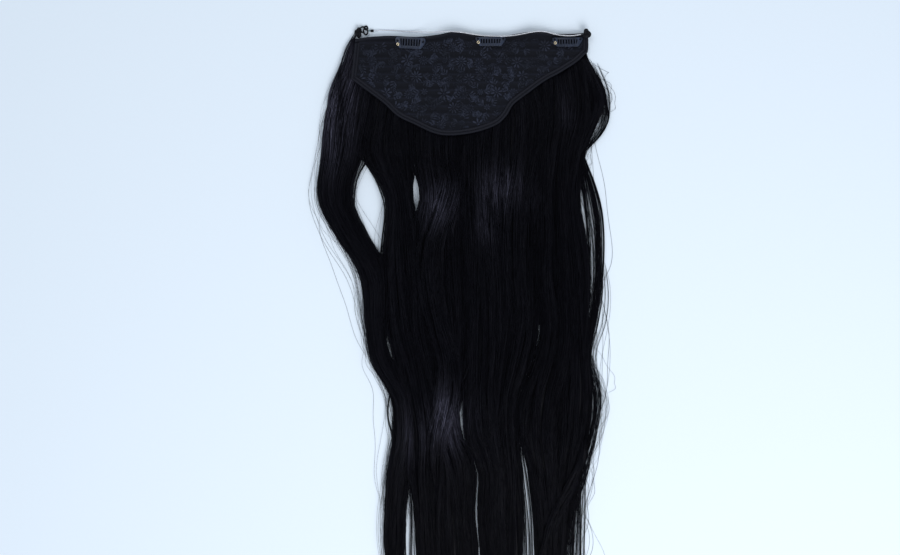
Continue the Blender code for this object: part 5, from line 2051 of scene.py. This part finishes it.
def nylon_material():
    """Clear nylon with faint clouds."""
    material, tree, shader = new_material("clear_nylon", 0.14, 0.5, shown=(0.6, 0.65, 0.75))
    shader.inputs["Transmission Weight"].default_value = 0.55
    shader.inputs["IOR"].default_value = 1.5
    cloud = noise(tree, object_places(tree), 220.0)
    tint(tree, shader, cloud, scaled(colours().nylon, 0.8), colours().nylon)
    bump(tree, shader, cloud, 0.0001, 0.2)
    return material


def floor_material():
    """Pale floor with a faint grain."""
    material, tree, shader = new_material("pale_floor", 0.7, 0.2)
    grain = noise(tree, object_places(tree), 300.0)
    tint(tree, shader, grain, scaled(colours().floor, 0.985), colours().floor)
    return material


class HALO_OT_stage(bpy.types.Operator):
    """Adds the camera, the floor and the studio light"""

    bl_idname = "halo.stage"
    bl_label = "Stage"

    def execute(self, context):
        camera = add_object("camera", bpy.data.cameras.new("camera"))
        camera.location = CAMERA_PLACE
        camera.data.lens = 50.0
        camera.data.sensor_width = 36.0
        camera.data.clip_start = 0.01
        context.scene.camera = camera
        deselect()
        bpy.ops.mesh.primitive_plane_add(size=sizes().floor, location=(0.0, -0.25, 0.0))
        floor = context.object
        floor.name = "floor"
        floor.data.materials.append(floor_material())
        for name, place, size, power in LAMPS:
            lamp = add_object(name, bpy.data.lights.new(name, "AREA"))
            lamp.data.size = size
            lamp.data.energy = power
            lamp.data.color = LAMP_LIGHT
            lamp.location = place
            lamp.rotation_euler = (Vector(LAMP_AIM) - Vector(place)).to_track_quat("-Z", "Y").to_euler()
        world = bpy.data.worlds.new("studio")
        world.use_nodes = True
        backdrop = world.node_tree.nodes["Background"]
        backdrop.inputs["Color"].default_value = SKY_LIGHT
        backdrop.inputs["Strength"].default_value = SKY_STRENGTH
        context.scene.view_settings.view_transform = "Standard"
        context.scene.world = world
        return {"FINISHED"}


def wire_places():
    """The wire's route in metres, between the band's two corners."""
    base = Base()
    start = base.band_x[0] + WIRE_FROM_CORNER
    end = base.band_x[-1] - WIRE_TO_CORNER
    rows = [
        (start + (end - start) * along, ORIGIN_BELOW_EDGE + beyond * EDGE_SWAY, up * WIRE_RISE)
        for along, beyond, up in WIRE_ROUTE
    ]
    route = even_rows(rows, WIRE_POINTS, (1.0, 1.0, 1.0))
    lean = WIRE_LEAN * np.maximum(route[:, 2] - WIRE_LEAN_FROM, 0.0)
    route[:, 1] -= np.minimum(lean, WIRE_LEAN_MOST)
    return route


class HALO_OT_wire(bpy.types.Operator):
    """Adds the clear halo wire with its crimp and collar"""

    bl_idname = "halo.wire"
    bl_label = "Halo wire"

    def execute(self, context):
        route = wire_places()
        curve = bpy.data.curves.new("nylon_wire", "CURVE")
        curve.dimensions = "3D"
        curve.bevel_depth = sizes().wire / 2
        curve.bevel_resolution = 4
        curve.use_fill_caps = True
        spline = curve.splines.new("POLY")
        spline.points.add(len(route) - 1)
        spline.use_smooth = True
        for point, place in zip(spline.points, route):
            point.co = (*place, 1.0)
        wire = add_object("nylon_wire", curve)
        paint(wire, nylon_material(), "clear_nylon")
        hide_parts("halo_wire")
        make_wire_ends()
        return {"FINISHED"}


class HALO_OT_locks(bpy.types.Operator):
    """Adds every lock of hair and the hair under the lace"""

    bl_idname = "halo.locks"
    bl_label = "Hair locks"

    def execute(self, context):
        base = Base()
        for name in LOCKS:
            make_lock(name, base)
        make_seams(base)
        make_veils(base)
        make_loose_hairs(base)
        backing = make_backing(base)
        set_values(backing, "tone", np.full(len(backing.data.vertices), 0.2))
        paint(backing, hair_material(), "hair")
        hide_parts("hair")
        return {"FINISHED"}


class HALO_PT_panel(bpy.types.Panel):
    """Lists the pieces, sizes and colours of the halo hair extension"""

    bl_label = "Halo Hair"
    bl_idname = "HALO_PT_panel"
    bl_space_type = "VIEW_3D"
    bl_region_type = "UI"
    bl_category = "Halo Hair"

    def draw(self, context):
        for operator in OPERATORS:
            self.layout.operator(operator.bl_idname)
        for group in (context.scene.halo_hair_sizes, context.scene.halo_hair_colours):
            column = self.layout.column()
            for name in group.__annotations__:
                column.prop(group, name)


OPERATORS = (
    HALO_OT_stage,
    HALO_OT_wire,
    HALO_OT_locks,
    HALO_OT_lace,
    HALO_OT_clips,
    HALO_OT_elastic,
)
CLASSES = (HaloHairSizes, HaloHairColours, *OPERATORS, HALO_PT_panel)


def register():
    for made in CLASSES:
        bpy.utils.register_class(made)
    bpy.types.Scene.halo_hair_sizes = bpy.props.PointerProperty(type=HaloHairSizes)
    bpy.types.Scene.halo_hair_colours = bpy.props.PointerProperty(type=HaloHairColours)


def unregister():
    del bpy.types.Scene.halo_hair_colours
    del bpy.types.Scene.halo_hair_sizes
    for made in reversed(CLASSES):
        bpy.utils.unregister_class(made)


def main():
    register()
    bpy.ops.halo.stage()
    bpy.ops.halo.wire()
    bpy.ops.halo.locks()
    bpy.ops.halo.lace()
    bpy.ops.halo.clips()
    bpy.ops.halo.elastic()
    deselect()


if __name__ == "__main__":
    main()
